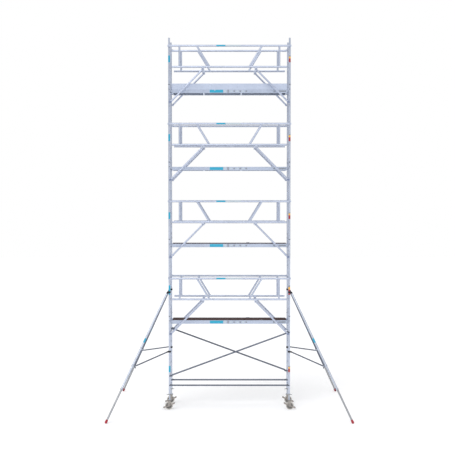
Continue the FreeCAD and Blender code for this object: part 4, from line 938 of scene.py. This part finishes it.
def jack_spindle():
    """A threaded shank on a flange that four bolts hold to the castor's head."""
    shank = SPINDLE_RADIUS - THREAD_DEPTH
    core = lathe([(0.014, HEAD_TOP + 0.0003), (0.036, HEAD_TOP + 0.0003), (0.038, HEAD_TOP + 0.0015),
                  (0.038, HEAD_TOP + 0.0055), (0.036, HEAD_TOP + 0.0066), (0.0225, HEAD_TOP + 0.0075),
                  (SPINDLE_RADIUS, HEAD_TOP + 0.0110), (shank, THREAD_FOOT), (shank, SPINDLE_TOP - 0.004),
                  (shank - 0.002, SPINDLE_TOP), (0.014, SPINDLE_TOP)], steps=32)
    ridge = thread(SPINDLE_RADIUS, THREAD_DEPTH, THREAD_PITCH, THREAD_FOOT + 0.006, SPINDLE_TOP - 0.02)
    bolts = [hexagon(Matrix.Rotation(math.radians(45 + 90 * quarter), 4, "Z")
                     @ Matrix.Translation((FLANGE_BOLT_REACH, 0, HEAD_TOP + 0.0065)), *FLANGE_BOLT)
             for quarter in range(4)]
    return [core, ridge] + bolts


def wing_nut():
    """A round cast nut with two flat wings."""
    body = lathe([(0.0193, NUT_FOOT), (0.0300, NUT_FOOT), (0.0330, NUT_FOOT + 0.003),
                  (0.0330, NUT_TOP - 0.006), (0.0290, NUT_TOP), (0.0193, NUT_TOP)], steps=32)
    wing = [(0.030, -0.0050), (0.070, -0.0038), (0.0780, 0), (0.070, 0.0038), (0.030, 0.0050)]
    wings = [plate(wing, WING_HEIGHT, Matrix.Rotation(math.pi * half, 4, "Z")
                   @ Matrix.Translation((0, 0, NUT_FOOT)), 0.0018) for half in range(2)]
    return [body] + wings


def moved(parts, place):
    """Several parts moved together."""
    return [put(part, place) for part in parts]


def on_edge(depth):
    """The move that turns a part drawn in X and Y to X and Z, and centres it at a depth in Y."""
    return Matrix.Translation((0, depth, 0)) @ Matrix.Rotation(math.radians(90), 4, "X")


def fork():
    """The ball-bearing head, the crown, two cheeks and the axle with its nuts."""
    head = lathe([(0, HEAD_FOOT), (0.043, HEAD_FOOT), (0.045, HEAD_FOOT + 0.003),
                  (0.045, HEAD_FOOT + 0.009), (0.0405, HEAD_FOOT + 0.011), (0.0405, HEAD_FOOT + 0.014),
                  (0.045, HEAD_FOOT + 0.016), (0.045, HEAD_TOP - 0.003), (0.041, HEAD_TOP), (0, HEAD_TOP)],
                 steps=40)
    crown = slab((-CROWN_HALF, -CHEEK_OUTER, HEAD_FOOT + CROWN_RUN[0]),
                 (CROWN_HALF, CHEEK_OUTER, HEAD_FOOT + CROWN_RUN[1]), 0.002)
    sweep = [math.radians(angle) for angle in range(-170, -9, 20)]
    foot = [(AXLE.x + CHEEK_FOOT[0] * math.cos(angle), AXLE.z + CHEEK_FOOT[1] * math.sin(angle))
            for angle in sweep]
    outline = foot + [(AXLE.x + CHEEK_WAIST[0], AXLE.z + CHEEK_WAIST[1]), (CROWN_HALF, HEAD_FOOT),
                      (-CROWN_HALF, HEAD_FOOT), (AXLE.x - CHEEK_WAIST[0], AXLE.z + CHEEK_WAIST[1])]
    cheeks = [plate(outline, CHEEK_OUTER - CHEEK_INNER, on_edge(depth), PLATE_RIM)
              for depth in (CHEEK_OUTER, -CHEEK_INNER)]
    half_axle = Vector((0, AXLE_HALF, 0))
    axle = rod(AXLE - half_axle, AXLE + half_axle, AXLE_RADIUS, 20, 0.001)
    nuts = [hexagon(standing(AXLE + Vector((0, way * (ARM_OUTER + 0.0005), 0)), (0, way, 0)), *AXLE_NUT)
            for way in SIDES]
    return [head, crown, axle] + cheeks + nuts


def tyre():
    """A rounded rubber tread."""
    crown = WHEEL_RADIUS
    outline = [(0.078, -0.025), (0.090, -0.025), (0.0955, -0.0225), (0.0985, -0.017), (crown, -0.009),
               (crown, 0.009), (0.0985, 0.017), (0.0955, 0.0225), (0.090, 0.025), (0.078, 0.025)]
    return [lathe(outline, standing(AXLE, (0, 1, 0)), 64)]


def hub():
    """A dished disc between a bush and a rim, stiffened by ribs."""
    outline = [(0.0083, -0.029), (0.0150, -0.029), (0.0170, -0.027), (0.0180, -0.010), (0.066, -0.007),
               (0.0705, -0.0235), (0.0780, -0.0245), (0.0780, 0.0245), (0.0705, 0.0235), (0.066, 0.007),
               (0.0180, 0.010), (0.0170, 0.027), (0.0150, 0.029), (0.0083, 0.029)]
    place = standing(AXLE, (0, 1, 0))
    turns = [Matrix.Rotation(math.tau * number / HUB_RIBS, 4, "Z") for number in range(HUB_RIBS)]
    ribs = [put(slab(RIB_FROM, RIB_TO, 0.001, 1), place @ turn) for turn in turns]
    return [lathe(outline, place, 48)] + ribs


def pedal():
    """Two arms beside the wheel, joined by a ridged foot pad at each end."""
    tilt = Matrix.Translation(AXLE) @ Matrix.Rotation(PEDAL_TILT, 4, "Y")
    lower_edge = [(PAD_IN - PAD_HALF, -0.009), (PAD_IN, -0.013), (-0.055, -0.010), (-0.018, -0.013),
                  (0.018, -0.013), (0.055, -0.010), (PAD_OUT, -0.013), (PAD_OUT + PAD_HALF, -0.009)]
    outline = lower_edge + [(x, 0.013) for x, low in reversed(lower_edge)]
    arms = [plate(outline, ARM_OUTER - ARM_INNER, tilt @ on_edge(depth), PLATE_RIM)
            for depth in (ARM_OUTER, -ARM_INNER)]
    pads = []
    for middle in (PAD_OUT, PAD_IN):
        pads.append(slab((middle - PAD_HALF, -ARM_OUTER, PAD_RISES[0]),
                         (middle + PAD_HALF, ARM_OUTER, PAD_RISES[1]), PAD_RIM))
        for x in [middle + GRIP_PITCH * number for number in range(-2, 3)]:
            pads.append(slab((x - GRIP_HALF, -GRIP_REACH, GRIP_RISES[0]),
                             (x + GRIP_HALF, GRIP_REACH, GRIP_RISES[1]), GRIP_RIM, 1))
    return arms + [put(pad, tilt) for pad in pads]


CASTOR_PARTS = (("jack_spindle", "spindle", jack_spindle, thread_steel, "zinc_steel"),
                ("jack_nut", "wing_nut", wing_nut, cast_steel, "cast_nut"),
                ("castor_yoke", "fork", fork, pressed_steel, "castor_steel"),
                ("castor_wheel", "tyre", tyre, tyre_rubber, "wheel_tyre"),
                ("brake_pedal", "pedal", pedal, pedal_steel, "pedal_steel"))
for corner, side_x, side_y in CORNERS:
    castor_place = (Matrix.Translation((side_x * HALF_BAY, side_y * HALF_WIDTH, 0))
                    @ Matrix.Diagonal((side_x, 1, 1, 1)))
    for kind, name, build, material, slot in CASTOR_PARTS:
        made = piece(f"{name}_{corner}", moved(build(), castor_place), material, f"{kind}_{corner}")
        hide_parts(f"{kind}_{corner}")
    piece(f"hub_{corner}", moved(hub(), castor_place), hub_plastic, f"castor_wheel_{corner}")

# ---------------------------------------------------------------------------- outriggers
# A telescopic leg and a stay on black cast couplers that clamp round the posts. Forked ends turn on
# bolts with wing nuts, a collar and knob lock the inner tube, and a ribbed red foot is pushed over it.
PLAN_TURN = math.radians(47.3)
BOLT_REACH = 0.070
UPPER_COUPLER, LOWER_COUPLER = FRAME_FOOT + 2.600, FRAME_FOOT + 1.080
FOOT_REACH = 2.112
FOOT_RADIUS = 0.032
LEG_RADIUS = 0.025
LEG_TUBE_END = 2.745
INNER_RADIUS = 0.0224
STAY_RADIUS = 0.016
CLAMP_PLACE = 2.085
CLAMP_REACH = 0.055
TUBE_START = 0.043
BOOT_LENGTH = 0.060
BOOT_RIBS = 3
WALL = 0.002
INNER_LENGTH = 0.600
CLAMP_LENGTH = 0.040
COLLAR_PLACE = LEG_TUBE_END - CLAMP_LENGTH / 2
RING_CLEARANCE = 0.0003
COUPLER_LENGTH, COUPLER_BORE = 0.045, 0.0258
BOOT_CLEARANCE, BOOT_SOCKET, INNER_GAP = 0.0005, 0.020, 0.016
LUG_HALF, LUG_RIM = 0.0078, 0.003
COUPLER_LUG, CLAMP_LUG = (0.0265, 0.086, 0.019), (0.0258, 0.072, 0.018)    # start, end, half height
CHEEK_HALF, CHEEK_FACES, CHEEK_OVER = 0.0135, (0.0084, 0.0150), 0.017
CLOSING_BOLT_REACH, CLOSING_BOLT_HALF, CLOSING_BOLT_RADIUS = 0.0365, 0.0215, 0.0062
BOLT_SEAT, SHANK_RADIUS, SHANK_RUN = 0.0155, 0.0058, (-0.024, 0.026)
BOLT_HEAD, WING_COLLAR = (0.019, 0.0075), (0.017, 0.009)
WING_HALF = (0.021, 0.0025)
WING_RUN = (0.0185, 0.0305)
KNOB_PLACE, KNOB_LOBES, LOBE_REACH = 0.0325, 6, 0.0095
LABEL_SPAN = (1.33, 1.45)
LEG_LABEL_WRAP = LABEL_WRAP * 1.2

leg_run = FOOT_REACH - BOLT_REACH
leg_drop = UPPER_COUPLER - FOOT_RADIUS
leg_length = math.hypot(leg_run, leg_drop)
leg_hang = (Matrix.Translation((BOLT_REACH, 0, UPPER_COUPLER))
            @ Matrix.Rotation(math.atan2(leg_run, -leg_drop), 4, "Y"))
clamp_bolt = leg_hang @ Vector((CLAMP_REACH, 0, CLAMP_PLACE))
stay_run = clamp_bolt.x - BOLT_REACH
stay_drop = LOWER_COUPLER - clamp_bolt.z
stay_length = math.hypot(stay_run, stay_drop)
stay_hang = (Matrix.Translation((BOLT_REACH, 0, LOWER_COUPLER))
             @ Matrix.Rotation(math.atan2(stay_run, -stay_drop), 4, "Y"))

leg_metal = metal("dull_leg_tube", (0.54, 0.58, 0.66), (0.42, 0.46, 0.54), 0.36, grain=(4, 4, 0.7))
inner_metal = metal("inner_leg_tube", (0.40, 0.41, 0.43), (0.28, 0.29, 0.31), 0.38, grain=(4, 4, 0.7))
red_rubber = plastic("red_foot", (0.36, 0.012, 0.028), (0.45, 0.05, 0.05), 0.5)


def clamp_ring(middle, length, bore):
    """A cast ring with rounded rims and a thickened band."""
    half = length / 2
    upper_half = [(0.0340, half * 0.3), (0.0330, half * 0.4), (0.0330, half - 0.003), (0.0310, half),
                  (bore, half)]
    lower_half = [(radius, -height) for radius, height in reversed(upper_half)]
    return lathe([(radius, middle + height) for radius, height in lower_half + upper_half], steps=32)


def lug(middle, start, end, half_height):
    """The flat tongue that a forked end closes on."""
    return slab((start, -LUG_HALF, middle - half_height), (end, LUG_HALF, middle + half_height), LUG_RIM)


def post_coupler(height):
    """A hinged ring round the post, its lug outwards and its closing bolt beside it."""
    closing_bolt = rod((-CLOSING_BOLT_REACH, 0, height - CLOSING_BOLT_HALF),
                       (-CLOSING_BOLT_REACH, 0, height + CLOSING_BOLT_HALF), CLOSING_BOLT_RADIUS, 14, 0.001)
    return [clamp_ring(height, COUPLER_LENGTH, COUPLER_BORE), lug(height, *COUPLER_LUG), closing_bolt]


def fork_cheeks(end, way):
    """The two tongues of a forked plug; end is its bolt and way points up its tube."""
    low, high = between(end - way * CHEEK_OVER, end + way * (TUBE_START + 0.004))
    parts = []
    for side in SIDES:
        near, far = between(*[side * face for face in CHEEK_FACES])
        parts.append(slab((-CHEEK_HALF, near, low), (CHEEK_HALF, far, high), LUG_RIM))
    return parts


def through_bolt(x, z):
    """A bolt across the fork with a hexagon head and a wing nut."""
    shank = rod((x, SHANK_RUN[0], z), (x, SHANK_RUN[1], z), SHANK_RADIUS, 14, 0.0008)
    head = hexagon(aimed((x, -BOLT_SEAT, z), (x, -1, z)), *BOLT_HEAD)
    collar = hexagon(aimed((x, BOLT_SEAT, z), (x, 1, z)), *WING_COLLAR)
    wings = slab((x - WING_HALF[0], WING_RUN[0], z - WING_HALF[1]),
                 (x + WING_HALF[0], WING_RUN[1], z + WING_HALF[1]), 0.002)
    return [shank, head, collar, wings]


def hollow(radius, start, end, rim=0.001):
    """A tube with rounded end edges."""
    return lathe([(radius - WALL, start), (radius - rim, start), (radius, start + rim), (radius, end - rim),
                  (radius - rim, end), (radius - WALL, end)], steps=32)


def lock_knob():
    """A lobed knob that screws through the collar."""
    place = aimed((KNOB_PLACE, 0, COLLAR_PLACE), (1, 0, COLLAR_PLACE))
    core = [(0, 0), (0.008, 0), (0.008, 0.006), (0.0125, 0.008), (0.0125, 0.031), (0.010, 0.0335),
            (0, 0.0335)]
    lobe = [(0, 0.006), (0.0055, 0.006), (0.0060, 0.008), (0.0060, 0.031), (0.0045, 0.033), (0, 0.033)]
    lobes = [lathe(lobe, place @ Matrix.Rotation(math.tau * number / KNOB_LOBES, 4, "Z")
                   @ Matrix.Translation((LOBE_REACH, 0, 0)), 10) for number in range(KNOB_LOBES)]
    return [lathe(core, place, 24)] + lobes


def rubber_foot():
    """A ribbed boot that ends in a ball."""
    start = leg_length - BOOT_LENGTH
    bore = INNER_RADIUS + BOOT_CLEARANCE
    outline = [(bore, start), (0.0270, start), (0.0300, start + 0.004)]
    for rib in range(BOOT_RIBS):
        foot = start + 0.010 + rib * 0.012
        outline += [(0.0300, foot), (0.0280, foot + 0.002), (0.0280, foot + 0.005), (0.0300, foot + 0.007)]
    ball = [math.radians(angle) for angle in range(-15, 91, 15)]
    outline += [(FOOT_RADIUS * math.cos(angle), leg_length + FOOT_RADIUS * math.sin(angle))
                for angle in ball[:-1]]
    outline += [(0, leg_length + FOOT_RADIUS), (0, leg_length - BOOT_SOCKET),
                (bore, leg_length - BOOT_SOCKET)]
    return [lathe(outline, steps=40)]


plan_turns = {"front_left": PLAN_TURN - math.pi, "front_right": -PLAN_TURN,
              "back_left": math.pi - PLAN_TURN, "back_right": PLAN_TURN}
for corner, side_x, side_y in CORNERS:
    stand = (Matrix.Translation((side_x * HALF_BAY, side_y * HALF_WIDTH, 0))
             @ Matrix.Rotation(plan_turns[corner], 4, "Z"))
    on_leg, on_stay = stand @ leg_hang, stand @ stay_hang
    leg_body, foot_body = f"outrigger_leg_{corner}", f"outrigger_foot_{corner}"
    leg = moved([hollow(LEG_RADIUS, TUBE_START, LEG_TUBE_END)], on_leg)
    # Painted shade: the back corners' outer legs take the dark brace finish so that they read as shaded; the
    # front ones keep the paler leg finish.
    outer_leg = piece(f"outer_leg_{corner}", leg, leg_metal if side_y < 0 else brace_metal, leg_body)
    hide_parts(leg_body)
    stay = moved([hollow(STAY_RADIUS, TUBE_START, stay_length - TUBE_START)], on_stay)
    piece(f"stay_{corner}", stay, brace_metal, leg_body)
    couplers = moved(post_coupler(UPPER_COUPLER) + post_coupler(LOWER_COUPLER), stand)
    couplers += moved(lock_knob() + fork_cheeks(0, 1), on_leg) + moved(fork_cheeks(0, 1), on_stay)
    piece(f"couplers_{corner}", couplers, black_plastic, leg_body)
    clamp = [clamp_ring(CLAMP_PLACE, CLAMP_LENGTH, LEG_RADIUS + RING_CLEARANCE), lug(CLAMP_PLACE, *CLAMP_LUG),
             clamp_ring(COLLAR_PLACE, CLAMP_LENGTH, LEG_RADIUS + RING_CLEARANCE)]
    clamps = moved(clamp, on_leg) + moved(fork_cheeks(stay_length, -1), on_stay)
    piece(f"leg_clamps_{corner}", clamps, leg_metal, leg_body)
    bolt_places = ((BOLT_REACH, UPPER_COUPLER), (BOLT_REACH, LOWER_COUPLER), (clamp_bolt.x, clamp_bolt.z))
    bolts = moved([part for x, z in bolt_places for part in through_bolt(x, z)], stand)
    piece(f"coupler_bolts_{corner}", bolts, dark_steel, leg_body)
    label = wrap((0, 0, LABEL_SPAN[0]), (0, 0, LABEL_SPAN[1]), LEG_RADIUS + LABEL_FILM,
                 (0, side_x * side_y, 0), LEG_LABEL_WRAP)
    piece(f"leg_label_{corner}", moved([label], on_leg), label_colours["cyan"], leg_body)
    inner = moved([hollow(INNER_RADIUS, LEG_TUBE_END - INNER_LENGTH, leg_length - INNER_GAP)], on_leg)
    inner_leg = piece(f"inner_leg_{corner}", inner, inner_metal, foot_body)
    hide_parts(foot_body)
    piece(f"red_foot_{corner}", moved(rubber_foot(), on_leg), red_rubber, foot_body)
